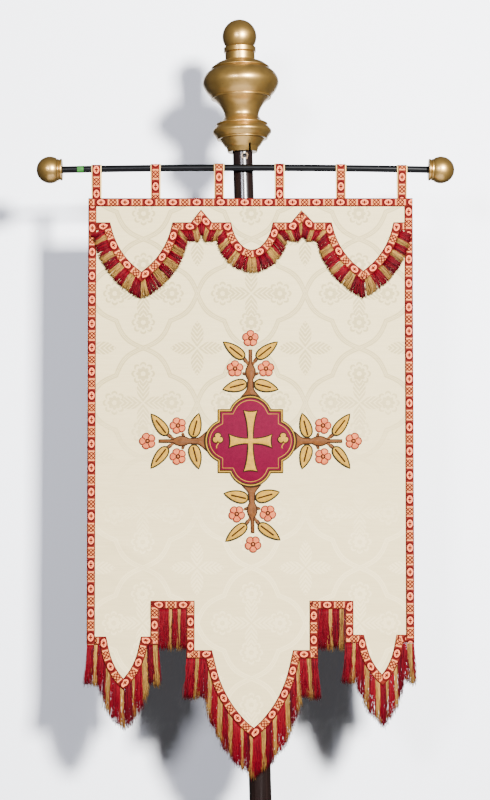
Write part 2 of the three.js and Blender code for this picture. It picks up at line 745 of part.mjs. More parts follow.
function finialSolid() {
  const ring = (out, up) => new THREE.Vector2(out, up);
  const neckTop = NECK_RINGS[NECK_RINGS.length - 1];
  const profile = [
    ring(0, SOCKET.depth),
    ring(SOCKET.radius, SOCKET.depth),
    ring(SOCKET.radius, 0),
    ring(BASE_RING.foot, 0),
    ring(BASE_RING.top, BASE_RING.height),
    ...smoothTurning(LOWER_BULGE),
    ...smoothTurning(THROAT),
    ...smoothTurning(MAIN_BULGE),
    ...smoothTurning(SHOULDER),
    ...NECK_RINGS.map((row) => ring(row.out, row.up)),
    ...ballTurning(TOP_BALL.up, TOP_BALL.radius, neckTop.up),
  ];
  const notchReach = BASE_RING.top * 2;
  const notch = new THREE.BoxGeometry(NOTCH.width, notchReach, 2 * NOTCH.height);
  notch.translate(NOTCH.across, -notchReach / 2, 0);
  return fromManifold(toManifold(turnedSolid(profile, FINIAL_SIDES)).subtract(toManifold(notch)));
}

function poleSolid() {
  const pole = new THREE.CylinderGeometry(POLE_TOP_RADIUS, POLE_FOOT_RADIUS, POLE_LENGTH, POLE_SIDES);
  pole.rotateX(Math.PI / 2).translate(0, 0, POLE_LENGTH / 2);
  const hole = new THREE.CylinderGeometry(PEG_HOLE.radius, PEG_HOLE.radius, 2 * PEG_HOLE.depth, BAR_SIDES);
  hole.translate(PEG_HOLE.across, -POLE_TOP_RADIUS, PEG_HOLE.height);
  return fromManifold(toManifold(pole).subtract(toManifold(hole)));
}

function ballEndSolid() {
  const ring = (out, up) => new THREE.Vector2(out, up);
  const grooveUp = COLLAR.length / 2;
  const profile = [
    ring(0, BALL_SOCKET.depth),
    ring(BALL_SOCKET.radius, BALL_SOCKET.depth),
    ring(BALL_SOCKET.radius, 0),
    ring(COLLAR.radius, 0),
    ring(COLLAR.radius, grooveUp - COLLAR.groove),
    ring(COLLAR.radius - COLLAR.groove, grooveUp),
    ring(COLLAR.radius, grooveUp + COLLAR.groove),
    ring(COLLAR.radius, COLLAR.length),
    ...ballTurning(BALL.centre, BALL.radius, COLLAR.length),
  ];
  return turnedSolid(profile, BALL.sides);
}

// The bar's bow is a parabola, level in the middle, that runs on into both sockets.
function crossbarSolid() {
  const half = BAR_SHOWN / 2 + BALL_SOCKET.depth - GAP;
  const drop = BAR_DROOP * (half / (BAR_SHOWN / 2)) ** 2;
  const bow = new THREE.QuadraticBezierCurve3(
    new THREE.Vector3(-half, 0, -drop),
    new THREE.Vector3(0, 0, drop),
    new THREE.Vector3(half, 0, -drop),
  );
  const section = new THREE.Shape();
  section.absarc(0, 0, BAR_RADIUS, 0, 2 * Math.PI);
  const options = { steps: BAR_STEPS, curveSegments: BAR_SIDES / 2, extrudePath: bow };
  return new THREE.ExtrudeGeometry(section, options);
}

// Assembly: the leaning pole and its finial.
mast.rotation.y = -POLE_LEAN;
addPiece(mast, 'pole', poleSolid(), 'lacquer');
addPiece(mast, 'finial', finialSolid(), 'gilding').position.z = FINIAL_BASE;

// The bar lies against the front of the pole.
const poleRadiusAtBar = THREE.MathUtils.lerp(POLE_FOOT_RADIUS, POLE_TOP_RADIUS, BAR_HEIGHT / POLE_LENGTH);
const barY = -(poleRadiusAtBar + GAP + BAR_RADIUS);
addPiece(banner, 'crossbar', crossbarSolid(), 'blackPaint').position.set(BAR_CENTRE_X, barY, BAR_HEIGHT);
const endSlope = (4 * BAR_DROOP) / BAR_SHOWN;
for (const { name, side } of [{ name: 'ball_left', side: -1 }, { name: 'ball_right', side: 1 }]) {
  const end = addPiece(banner, name, ballEndSolid(), 'gilding');
  end.rotation.y = side * (Math.PI / 2 + endSlope);
  end.position.set(BAR_CENTRE_X + (side * BAR_SHOWN) / 2, barY, BAR_HEIGHT - BAR_DROOP);
}

// The cloth hangs straight down under the bar.
cloth.position.set(PANEL_CENTRE_X, barY, PANEL_TOP);
addPiece(cloth, 'panel', panelSolid(), 'damask');
const cornerDrop = BRAID_WIDTH + GAP;
const [leftDrop, , rightDrop] = HEM;
const topLine = [new THREE.Vector2(-PANEL_HALF_WIDTH, 0), new THREE.Vector2(PANEL_HALF_WIDTH, 0)];
const leftLine = [
  new THREE.Vector2(-PANEL_HALF_WIDTH, leftDrop.edge),
  new THREE.Vector2(-PANEL_HALF_WIDTH, -cornerDrop),
];
const rightLine = [
  new THREE.Vector2(PANEL_HALF_WIDTH, -cornerDrop),
  new THREE.Vector2(PANEL_HALF_WIDTH, rightDrop.edge),
];
addPiece(cloth, 'braid_top', braidSolid(topLine, BRAID_WIDTH), 'braid');
addPiece(cloth, 'braid_left', braidSolid(leftLine, BRAID_WIDTH), 'braid');
addPiece(cloth, 'braid_right', braidSolid(rightLine, BRAID_WIDTH), 'braid');
addPiece(cloth, 'braid_hem', braidSolid(hemBraidPath(), -BRAID_WIDTH), 'braid');
addPiece(cloth, 'braid_valance', braidSolid(valancePath(GAP), BRAID_WIDTH), 'braid');
TAB_CENTRES.forEach((centre, i) => {
  addPiece(cloth, `tab_${i + 1}`, tabSolid(centre), 'braid');
});

for (const drop of HEM) {
  const edge = hemPath(drop, { left: 0, right: 0 });
  addPiece(cloth, `fringe_${drop.name}`, hemFringe(edge, HEM_FRINGE.flare), 'fringe');
}
['left_slot', 'right_slot'].forEach((name, i) => {
  const left = HEM[i].right + HEM_FRINGE.sideGap;
  const right = HEM[i + 1].left - HEM_FRINGE.sideGap;
  const edge = [new THREE.Vector2(left, SLOT_TOP), new THREE.Vector2(right, SLOT_TOP)];
  addPiece(cloth, `fringe_${name}`, hemFringe(edge, 0), 'fringe');
});
addPiece(cloth, 'fringe_valance', valanceFringe(), 'fringe');

// The floral cross lies on the panel; the medallion's own pieces lie on the medallion.
const motifBack = PANEL_THICKNESS / 2 + LAYER_GAP;
const medallionFront = motifBack + MEDALLION.thickness + LAYER_GAP;
const ground = cutShape(medallionShape(), MEDALLION.thickness);
addPiece(cloth, 'medallion', layOnCloth(ground, motifBack), 'crimsonSilk');
const centreCross = cutShape(medallionCrossShape(), MEDALLION_CROSS.thickness);
addPiece(cloth, 'medallion_cross', layOnCloth(centreCross, medallionFront), 'goldSilk');
for (const { name, side } of [{ name: 'trefoil_left', side: -1 }, { name: 'trefoil_right', side: 1 }]) {
  const trefoil = trefoilSolid().translate(side * TREFOIL.across, TREFOIL.up, 0);
  addPiece(cloth, name, layOnCloth(trefoil, medallionFront), 'goldSilk');
}
for (const sprig of SPRIGS) {
  addPiece(cloth, `sprig_${sprig.name}`, layOnCloth(sprigSolid(), motifBack, sprig.turn), 'goldSilk');
  for (const place of FLOWER_PLACES) {
    const petals = petalShape(FLOWER.petals, FLOWER.radius, FLOWER.waist, FLOWER.stepsPerPetal);
    const flower = cutShape(petals, MOTIF_THICKNESS).translate(place.across, place.out, 0);
    const laid = layOnCloth(flower, motifBack, sprig.turn);
    addPiece(cloth, `flower_${sprig.name}_${place.name}`, laid, 'pinkSilk');
  }
}

export default banner;
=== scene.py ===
# %% [markdown]
# # A church banner on its pole
# The real thing is a shaped cream damask, edged with patterned braid and bunched silk fringe, with an
# applied floral cross. Six loops of braid carry it on a black bar in front of a dark pole with a gilded,
# turned finial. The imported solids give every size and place, so this lesson starts by loading them as a
# fixed frame. Each step then makes one finer piece over its solid, in metres, in the same frame.

# %% Load the frame
import math
from functools import partial

import bmesh
import bpy
import numpy as np
from mathutils import Matrix, Vector


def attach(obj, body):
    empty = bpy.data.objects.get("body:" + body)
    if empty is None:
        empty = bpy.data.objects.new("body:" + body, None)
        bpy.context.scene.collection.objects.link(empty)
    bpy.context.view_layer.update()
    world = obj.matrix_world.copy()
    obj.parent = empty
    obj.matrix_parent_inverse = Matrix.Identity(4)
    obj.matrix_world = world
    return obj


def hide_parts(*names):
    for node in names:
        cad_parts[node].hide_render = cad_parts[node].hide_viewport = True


MM = 0.001
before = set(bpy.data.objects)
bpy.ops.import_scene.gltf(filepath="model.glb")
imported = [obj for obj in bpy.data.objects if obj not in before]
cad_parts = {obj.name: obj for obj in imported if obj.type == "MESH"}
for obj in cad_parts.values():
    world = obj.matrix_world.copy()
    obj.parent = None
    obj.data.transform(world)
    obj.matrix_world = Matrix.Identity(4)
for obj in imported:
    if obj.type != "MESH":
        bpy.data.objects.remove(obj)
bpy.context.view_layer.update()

# %% [markdown]
# ## The camera and the room
# The photograph was taken from about four metres with a long lens, level with the middle of the cloth and
# tilted up a little. A long lens keeps the bar and the hem parallel, so a 90 mm lens is used here. The room
# is a white wall close behind the banner and two soft lights, the right one much stronger, so that the
# shadow falls to the left. Wall and floor throw no light back, which keeps the shadows deep, and the wall
# is clear from behind, so the back can be looked at.

# %% Camera
camera_data = bpy.data.cameras.new("camera")
LENS, SENSOR = 90, 36
CAMERA_PLACE, CAMERA_TILT = (-0.04318, -3.82113, 1.0705), 2.9
camera_data.lens = LENS
camera_data.sensor_width = SENSOR
camera = bpy.data.objects.new("camera", camera_data)
camera.location = CAMERA_PLACE
camera.rotation_euler = (math.radians(90 + CAMERA_TILT), 0, 0)
bpy.context.collection.objects.link(camera)
bpy.context.scene.camera = camera
print("camera lens", camera_data.lens, "mm")

# %% [markdown]
# ## Small helpers
# Colours are picked as sRGB hex values, but shaders count in linear light, so one function turns one into
# the other. Another adds a shader node, sets it and links it, and returns the socket that the next node
# takes.


# %% Colour and node helpers
def linear(hex_colour):
    channels = [int(hex_colour[i:i + 2], 16) / 255 for i in (1, 3, 5)]
    return [c / 12.92 if c <= 0.04045 else ((c + 0.055) / 1.055) ** 2.4 for c in channels] + [1.0]


MODES = {"Math": "operation", "VectorMath": "operation", "Mix": "data_type"}


def add_node(tree, kind, *inputs, out=0, sockets=None, **settings):
    """Adds a node such as "Math.ADD", sets and links its inputs, and gives back one of its outputs."""
    kind, _, mode = kind.partition(".")
    node = tree.nodes.new("ShaderNode" + kind)
    if mode:
        settings[MODES[kind]] = mode
    for name, value in settings.items():
        setattr(node, name, value)
    for key, value in [*enumerate(inputs), *(sockets or {}).items()]:
        if isinstance(value, bpy.types.NodeSocket):
            tree.links.new(value, node.inputs[key])
        elif value is not None:
            node.inputs[key].default_value = value
    return node.outputs[out] if len(node.outputs) else node


def per_metre(size_mm):
    """The scale of a pattern whose marks are this size."""
    return 1000 / size_mm


def start_material(name):
    material = bpy.data.materials.new(name)
    material.use_nodes = True
    material.node_tree.nodes.clear()
    return material, partial(add_node, material.node_tree)


print("white in linear light:", linear("#ffffff"))

# %% Lights and stage
LIGHTS = [
    {"name": "key_right", "place": (1.35, -3.7, 2.3), "size": 0.5, "watts": 960, "tint": "#ffffff"},
    {"name": "fill_left", "place": (-1.1, -3.7, 2.1), "size": 0.6, "watts": 150, "tint": "#f0f2ff"},
    {"name": "back", "place": (-0.04, 4.5, 2.0), "size": 4.0, "watts": 150, "tint": "#ffffff"},
]
LIT_PLACE = Vector((-0.04, 0, 1.35))
for light in LIGHTS:
    lamp = bpy.data.lights.new(light["name"], "AREA")
    lamp.shape = "SQUARE"
    lamp.size = light["size"]
    lamp.energy = light["watts"]
    lamp.color = linear(light["tint"])[:3]
    holder = bpy.data.objects.new(light["name"], lamp)
    holder.location = light["place"]
    aim = LIT_PLACE - holder.location
    holder.rotation_euler = aim.to_track_quat("-Z", "Y").to_euler()
    bpy.context.collection.objects.link(holder)

world = bpy.data.worlds.new("studio")
world.use_nodes = True
world.node_tree.nodes["Background"].inputs["Color"].default_value = linear("#eef0f6")
world.node_tree.nodes["Background"].inputs["Strength"].default_value = 0.09
bpy.context.scene.world = world


def stage_plane(name, hex_colour, half_size, place):
    material, node = start_material(name + "_paint")
    paint = node("BsdfDiffuse", linear(hex_colour))
    behind = node("NewGeometry", out="Backfacing")
    clear = node("BsdfTransparent")
    node("OutputMaterial", node("MixShader", behind, paint, clear))
    bm = bmesh.new()
    bmesh.ops.create_grid(bm, x_segments=1, y_segments=1, size=half_size, matrix=place)
    mesh = bpy.data.meshes.new(name)
    bm.to_mesh(mesh)
    bm.free()
    mesh.materials.append(material)
    plane = bpy.data.objects.new(name, mesh)
    bpy.context.collection.objects.link(plane)
    return plane


WALL_BEHIND, WALL_HALF, WALL_MIDDLE = 0.26, 2.2, 1.3
FLOOR_HALF, FLOOR_PLACE = 0.9, (0, -0.62, -0.0005)
upright = Matrix.Translation((0, WALL_BEHIND, WALL_MIDDLE)) @ Matrix.Rotation(math.radians(90), 4, "X")
wall = stage_plane("wall", "#f6f7fb", WALL_HALF, upright)
wall.visible_shadow = wall.visible_glossy = False
floor = stage_plane("floor", "#e9e9ec", FLOOR_HALF, Matrix.Translation(FLOOR_PLACE))
for plane in (wall, floor):
    plane.visible_diffuse = False
print("lights:", len(LIGHTS), "and a wall", WALL_BEHIND, "m behind the pole")

# %% [markdown]
# ## Sizes
# These are the maker's sizes, in millimetres, that the solids were built from. Heights on the cloth run
# down from its top edge, and places across it run from its middle.

# %% Sizes of the cloth
BAR_Y = -25.99
PANEL_X, PANEL_TOP, PANEL_HALF = -32.7, 1648.4, 309.5
PANEL_THICKNESS, LAYER_GAP, EDGE_GAP = 1.5, 0.4, 0.3
SLOT_TOP = -781
BRAID_WIDTH, BRAID_THICKNESS = 15.6, 1.2
DROPS = [
    {"name": "left_lappet", "left": -309.5, "right": -173.3, "edge": -848.3, "from": -284.9, "to": -194.3,
     "tip": (-239.9, -933)},
    {"name": "tongue", "left": -121.3, "right": 127.2, "edge": -874, "from": -84.7, "to": 92.7,
     "tip": (6.4, -1024.5)},
    {"name": "right_lappet", "left": 178.8, "right": 309.5, "edge": -845, "from": 202.3, "to": 288.5,
     "tip": (249.4, -925.5)},
]
VALANCE_LEVEL = -46.4
VALANCE = [
    {"form": "pointed", "left": -267.5, "right": -148.7, "tip": (-207.7, -141)},
    {"form": "peak", "left": -113.6, "right": -73.2, "tip": (-94.4, -21.7)},
    {"form": "round", "left": -36.9, "right": 42.7, "tip": (2.2, -99.2)},
    {"form": "peak", "left": 77.4, "right": 120.2, "tip": (97.1, -23)},
    {"form": "pointed", "left": 154.9, "right": 272.9, "tip": (214.8, -139.2)},
]

# %% [markdown]
# ## How the cloth hangs
# A banner of stout damask hangs nearly flat. It has a few broad swells, and finer creases where it was
# folded away: two slanting ones at the lower left, one in the left lappet and soft slanting ones at the
# upper right. A cloth simulation would give other folds than these, so each is listed as a soft ridge or
# trough. Everything that is sewn on reads the same function, so all layers bend together.

# %% Folds and creases
# Each row: place across, place up, turn in degrees, length, breadth and depth.
FOLDS = [
    (-215, -690, -25, 130, 72, 2.6),
    (-240, -905, 0, 85, 85, 2.4),
    (228, -245, 42, 140, 72, -2.2),
    (262, -95, -35, 110, 72, 1.8),
    (10, -985, 90, 120, 90, 2.4),
    (250, -860, 20, 110, 80, -1.6),
    (130, -700, 60, 150, 75, 1.4),
]
CREASES = [
    (-238, -664, -32, 70, 9, 1.3),
    (-196, -716, -30, 62, 8, -1.0),
    (-252, -724, -24, 44, 8, 0.8),
    (-243, -880, -28, 40, 7, -1.2),
    (-232, -893, -24, 38, 6, 0.9),
    (205, -228, 44, 90, 13, 0.8),
    (246, -268, 40, 70, 12, -0.7),
    (236, -48, -34, 48, 10, 0.7),
    (-20, -915, 28, 60, 12, 0.7),
    (236, -872, 24, 45, 9, 0.8),
    (-120, -330, 66, 120, 16, 0.5),
    (150, -610, -50, 110, 16, 0.5),
]
SLACK_FROM = 78


def fold_depth(x, z):
    slack = np.clip((-z - BRAID_WIDTH) / (SLACK_FROM - BRAID_WIDTH), 0, 1)
    depth = 0
    for middle_x, middle_z, degrees, length, breadth, rise in FOLDS + CREASES:
        cos, sin = math.cos(math.radians(degrees)), math.sin(math.radians(degrees))
        along = (x - middle_x) * cos + (z - middle_z) * sin
        across = (z - middle_z) * cos - (x - middle_x) * sin
        depth = depth + rise * np.exp(-(along / length) ** 2 - (across / breadth) ** 2)
    return depth * slack * slack * (3 - 2 * slack)


def on_cloth(x, z, front):
    """Metres for a place on the hung cloth, in mm: across, up, and how far before its middle."""
    return np.stack([(PANEL_X + x) * MM, (BAR_Y - front - fold_depth(x, z)) * MM, (PANEL_TOP + z) * MM], -1)


print("deepest fold", round(float(fold_depth(-215, -690)), 2), "mm")

# %% [markdown]
# ## Outlines of the hem and the valance
# The tailor's lines are straight runs and curves. Each line is kept as a list of runs, so a strip of braid
# can be moved sideways with mitred corners and then smoothed within each run, which keeps the corners
# sharp.


# %% Lines made of runs
def bend(start, control, end, steps=5):
    t = np.linspace(0, 1, steps + 1)[:, None]
    return (1 - t) ** 2 * np.array(start) + 2 * t * (1 - t) * np.array(control) + t ** 2 * np.array(end)


def swerve(start, first, second, end, steps):
    t = np.linspace(0, 1, steps + 1)[:, None]
    a, b, c, d = (np.array(point, float) for point in (start, first, second, end))
    return (1 - t) ** 3 * a + 3 * t * (1 - t) ** 2 * b + 3 * t * t * (1 - t) * c + t ** 3 * d


def pointed_lobe(left, right, level, tip):
    runs = []
    for x, turned in ((left, False), (right, True)):
        control = (x + 0.2 * (tip[0] - x), level + 0.64 * (tip[1] - level))
        side = bend((x, level), control, tip)
        runs.append(side[::-1] if turned else side)
    return runs


def round_scallop(row):
    (tip_x, floor), runs = row["tip"], []
    for x, turned in ((row["left"], False), (row["right"], True)):
        steep = (x + 0.1 * (tip_x - x), VALANCE_LEVEL + 0.54 * (floor - VALANCE_LEVEL))
        side = swerve((x, VALANCE_LEVEL), steep, (x + 0.56 * (tip_x - x), floor), (tip_x, floor), 5)
        runs.append(side[::-1] if turned else side)
    return runs


def drop_runs(drop, left_inset=0, right_inset=0):
    lobe = pointed_lobe(drop["from"], drop["to"], drop["edge"], drop["tip"])
    start = np.array([(drop["left"] + left_inset, drop["edge"]), lobe[0][0]])
    return [start, *lobe, np.array([lobe[1][-1], (drop["right"] - right_inset, drop["edge"])])]


def valance_runs(inset):
    reach = PANEL_HALF - BRAID_WIDTH - inset
    here, runs = (-reach, VALANCE_LEVEL), []
    for row in VALANCE:
        runs.append(np.array([here, (row["left"], VALANCE_LEVEL)]))
        if row["form"] == "pointed":
            runs += pointed_lobe(row["left"], row["right"], VALANCE_LEVEL, row["tip"])
        elif row["form"] == "round":
            runs += round_scallop(row)
        else:
            runs += [np.array([(row["left"], VALANCE_LEVEL), row["tip"]]),
                     np.array([row["tip"], (row["right"], VALANCE_LEVEL)])]
        here = (row["right"], VALANCE_LEVEL)
    return runs + [np.array([here, (reach, VALANCE_LEVEL)])]


def offset_path(path, distance, closed=False):
    """Moves a path sideways with mitred corners; a positive distance is to the right of travel."""
    steps = np.diff(path, axis=0, append=path[:1])
    if not closed:
        steps[-1] = steps[-2]
    normals = np.stack([steps[:, 1], -steps[:, 0]], -1) / np.linalg.norm(steps, axis=1, keepdims=True)
    before = np.roll(normals, 1, axis=0)
    if not closed:
        before[0] = normals[0]
    mitre = before + normals
    return path + mitre * 2 * distance / (mitre ** 2).sum(1, keepdims=True)


def travel(line):
    """How far along a line each of its points lies."""
    return np.concatenate([[0], np.cumsum(np.linalg.norm(np.diff(line, axis=0), axis=1))])


def smooth_through(points, parts):
    """A smooth line through a run of points, with each step parted into so many."""
    ends = np.concatenate([2 * points[:1] - points[1:2], points, 2 * points[-1:] - points[-2:-1]])
    line = []
    for i, count in enumerate(parts):
        p, q, r, s = ends[i:i + 4]
        for t in np.arange(count) / count:
            line.append((2 * q + (r - p) * t + (2 * p - 5 * q + 4 * r - s) * t ** 2
                         + (3 * q - p - 3 * r + s) * t ** 3) / 2)
    return np.array(line + [points[-1]])


def rails(runs, offsets, spacing):
    """One fine line for each sideways offset of a line of runs, all with the same steps."""
    whole = np.concatenate([runs[0]] + [run[1:] for run in runs[1:]])
    lines = []
    for offset in offsets:
        moved, first, parts_of_line = offset_path(whole, offset), 0, []
        for run in runs:
            lengths = np.linalg.norm(np.diff(run, axis=0), axis=1)
            parts = np.maximum(1, np.round(lengths / spacing)).astype(int)
            parts_of_line.append(smooth_through(moved[first:first + len(run)], parts))
            first += len(run) - 1
        lines.append(np.concatenate([parts_of_line[0]] + [part[1:] for part in parts_of_line[1:]]))
    return lines


print("tongue hem:", len(rails(drop_runs(DROPS[1]), [0], 6)[0]), "points")

# %% [markdown]
# ## Making pieces
# A finished piece sits at the origin with its place in its mesh. It rides on the one body that the packed
# part has, takes the materials of its finish, and hides the plain solids that it replaces.


# %% Piece helpers
def make_piece(name, mesh, materials, nodes, sharp=35):
    for material in materials:
        mesh.materials.append(material)
    for polygon in mesh.polygons:
        polygon.use_smooth = True
    mesh.set_sharp_from_angle(angle=math.radians(sharp))
    piece = bpy.data.objects.new(name, mesh)
    bpy.context.collection.objects.link(piece)
    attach(piece, "root")
    if nodes:
        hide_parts(*nodes)
    return piece


def mesh_from(bm, name):
    bmesh.ops.recalc_face_normals(bm, faces=bm.faces)
    mesh = bpy.data.meshes.new(name)
    bm.to_mesh(mesh)
    bm.free()
    return mesh


def pull_row(bm, edges):
    """Extrudes a row of edges on the spot and gives back the new corners and the new row."""
    made = bmesh.ops.extrude_edge_only(bm, edges=edges)["geom"]
    corners = [g for g in made if isinstance(g, bmesh.types.BMVert)]
    fresh = set(corners)
    row = [g for g in made if isinstance(g, bmesh.types.BMEdge) and all(v in fresh for v in g.verts)]
    return corners, row


def thicken(piece, thickness):
    wall_of_cloth = piece.modifiers.new("thickness", "SOLIDIFY")
    wall_of_cloth.thickness = thickness * MM
    wall_of_cloth.offset = 0


# %% [markdown]
# ## Damask
# Damask is one colour of silk and cotton, woven so that the figure is satin one way and the ground the
# other. The eye sees only a change of gloss: from one side the figure is darker than the ground, and from
# the other lighter. Here that change is painted sheen: the figure is painted darker at the top and lighter
# below. The figure here is the common ogee net of church damasks: paired bands that cross on a square net,
# rosettes beside the crossings and leaf sprays between. It is worked out from folded coordinates, so one
# quarter of the repeat draws it all. The thread is far finer than a pixel, so only its slubs are drawn, as
# coarse as they show.

# %% Damask material
damask, node = start_material("silk_cotton_damask")
place = node("TexCoord", out="Object")
REPEAT_ACROSS, REPEAT_UP = 102.7, 104.2
NET_CORNER = Vector((-236.7, 0, 1361.7)) * MM
net = node("VectorMath.SUBTRACT", place, NET_CORNER)
net = node("VectorMath.MULTIPLY", net, (per_metre(REPEAT_ACROSS), 1, per_metre(REPEAT_UP)))
net = node("SeparateXYZ", net).node
u = node("Math.PINGPONG", net.outputs["X"], 1.0)
v = node("Math.PINGPONG", net.outputs["Z"], 1.0)

# Paired bands along the folded diagonal, swung out in two arcs.
total = node("Math.ADD", u, v)
swing = node("Math.SINE", node("Math.MULTIPLY", total, math.pi))
swing = node("Math.ABSOLUTE", swing)
off_line = node("Math.MULTIPLY_ADD", swing, 0.14, node("Math.SUBTRACT", v, u))
off_line = node("Math.ABSOLUTE", off_line)
BAND_HALF_GAP, BAND_LINE = 0.045, 0.02
band = node("Math.COMPARE", off_line, BAND_HALF_GAP, BAND_LINE)
core = node("Math.COMPARE", off_line, 0.0, 0.012)
band = node("Math.MAXIMUM", band, core)

# Rosettes beside the crossings: one kind above and below, the other left and right.
figures = [band]
for across, up in ((0.0, 0.47), (0.53, 1.0)):
    dx = node("Math.SUBTRACT", u, across)
    dy = node("Math.SUBTRACT", v, up)
    away = node("VectorMath.LENGTH", node("CombineXYZ", dx, dy), out="Value")
    angle = node("Math.ARCTAN2", dy, dx)
    petal = node("Math.COSINE", node("Math.MULTIPLY", angle, 4.0))
    petal = node("Math.ABSOLUTE", petal)
    edge = node("Math.MULTIPLY_ADD", petal, 0.035, 0.095)
    disc = node("Math.LESS_THAN", away, edge)
    eye = node("Math.GREATER_THAN", away, 0.045)
    disc = node("Math.MULTIPLY", disc, eye)
    scroll = node("Math.COMPARE", away, node("Math.MULTIPLY_ADD", petal, 0.05, 0.15), 0.02)
    broken = node("Math.GREATER_THAN", petal, 0.3)
    scroll = node("Math.MULTIPLY", scroll, broken)
    figures += [disc, scroll]

# Leaf sprays in the two compartments of the net.
for across, up in ((1.0, 0.0), (0.0, 1.0)):
    dx = node("Math.SUBTRACT", u, across)
    dy = node("Math.SUBTRACT", v, up)
    dx = node("Math.ABSOLUTE", dx)
    dy = node("Math.ABSOLUTE", dy)
    out = node("Math.MAXIMUM", dx, dy)
    over = node("Math.MINIMUM", dx, dy)
    breadth = node("Math.MULTIPLY", node("Math.SUBTRACT", 0.5, out), out)
    breadth = node("Math.MULTIPLY", breadth, 1.9)
    plume = node("Math.LESS_THAN", over, breadth)
    leaflet = node("Math.PINGPONG", node("Math.MULTIPLY_ADD", over, -1.3, out), 0.045)
    leaflet = node("Math.GREATER_THAN", leaflet, 0.017)
    spray = node("Math.MULTIPLY", plume, leaflet)
    figures.append(spray)
figure = figures[0]
for other in figures[1:]:
    figure = node("Math.MAXIMUM", figure, other)

# Painted sheen: the figure is painted darker than the ground at the top and lighter below,
# standing in for the two satins turning to the light.
height = node("SeparateXYZ", place, out="Z")
turned = node("MapRange", height, 0.95, 1.3, 0.7, -1.0)
shade = node("Math.MULTIPLY", figure, turned)
SLUB_LONG, SLUB_THICK = 41.6667, 2.38095
slub_scale = (per_metre(SLUB_LONG), per_metre(SLUB_LONG), per_metre(SLUB_THICK))
slub_place = node("VectorMath.MULTIPLY", place, slub_scale)
slub = node("TexNoise", slub_place, sockets={"Scale": 1.0, "Detail": 3.0})
shade = node("Math.MULTIPLY_ADD", slub, 0.3, node("Math.MULTIPLY_ADD", shade, 0.45, 0.6))
cream = node("Mix.RGBA", out=2, sockets={0: shade, 6: linear("#86784a"), 7: linear("#ccba8c")})
gloss = node("MapRange", figure, 0.0, 1.0, 0.62, 0.5)
relief = node("Math.MULTIPLY_ADD", figure, 0.6, slub)
relief = node("Bump", sockets={"Height": relief, "Strength": 0.22, "Distance": 0.0006})
silk = node("BsdfPrincipled", sockets={
    "Base Color": cream, "Roughness": gloss, "Normal": relief, "Specular IOR Level": 0.15})
node("OutputMaterial", silk)
print("damask nodes:", len(damask.node_tree.nodes))

# %% [markdown]
# ## The panel
# The panel is one flat cut. A row of edges along the line of the slot tops is pulled up to the top edge,
# row by row, and the rows under the three drops are pulled down to the hem. Every corner keeps its flat
# place, which measures the cut, and is then set on the hung cloth. The cloth's lit back is kept from
# shining on the wall.

# %% Panel
SPACING = 6
bm = bmesh.new()
flat_place = bm.verts.layers.float_vector.new("flat")
hems = [rails(drop_runs(drop), [0], SPACING)[0] for drop in DROPS]
columns = list(hems[0][:, 0])
for hem, drop, previous in zip(hems[1:], DROPS[1:], DROPS):
    slot_width = drop["left"] - previous["right"]
    steps = round(slot_width / SPACING)
    columns += [previous["right"] + slot_width * k / steps for k in range(1, steps)]
    columns += list(hem[:, 0])


def set_flat(corner, x, z):
    corner[flat_place] = (x, z, 0)
    corner.co = on_cloth(x, z, 0)


line = []
for x in columns:
    corner = bm.verts.new()
    set_flat(corner, x, SLOT_TOP)
    line.append(corner)
slot_edges = [bm.edges.new(pair) for pair in zip(line, line[1:])]
row, rows = slot_edges, round(-SLOT_TOP / SPACING)
for k in range(1, rows + 1):
    corners, row = pull_row(bm, row)
    for corner in corners:
        set_flat(corner, corner[flat_place].x, SLOT_TOP * (1 - k / rows))
for hem, drop in zip(hems, DROPS):
    row = [e for e in slot_edges
           if all(drop["left"] - 0.01 <= v[flat_place].x <= drop["right"] + 0.01 for v in e.verts)]
    rows = round((SLOT_TOP - drop["edge"]) / SPACING) + 8
    for k in range(1, rows + 1):
        corners, row = pull_row(bm, row)
        for corner in corners:
            x = corner[flat_place].x
            low = float(np.interp(x, hem[:, 0], hem[:, 1]))
            set_flat(corner, x, SLOT_TOP + (low - SLOT_TOP) * k / rows)
for face in bm.faces:
    ring = [v[flat_place] for v in face.verts]
panel = make_piece("panel_cloth", mesh_from(bm, "panel_cloth"), [damask], ["panel"])
thicken(panel, PANEL_THICKNESS)
panel.visible_diffuse = False

# %% [markdown]
# ## Braid
# The braid is woven in cotton: roundels with a quatrefoil, and between them a lattice of small diamonds, in
# dark red and olive on a peach ground, with a thin red line at each edge. The pattern is charted from the
# thread place that each strip carries: how far along it, and how far from its middle, in millimetres. One
# repeat is 45.7 mm. Folding the length at half a repeat draws roundel and lattice from one set of shapes.

# %% Braid material
braid, node = start_material("woven_cotton_braid")
thread = node("SeparateXYZ", node("Attribute", attribute_name="thread", out="Vector")).node
HALF_REPEAT = 22.85
LATTICE = {"pitch": 3.6, "line": 1.45, "heart": 6.2, "half_length": 7.2}
PALE_BAR = {"along": 14.2, "half": 1.1, "reach": 5.6}
ROUNDEL = {"half_length": 10.4, "half_width": 7.6, "petal": (2.3, 1.8), "petal_radius": 0.95}
along = node("Math.PINGPONG", thread.outputs["X"], HALF_REPEAT)
side = node("Math.ABSOLUTE", thread.outputs["Y"])
to_lattice = node("Math.SUBTRACT", HALF_REPEAT, along)

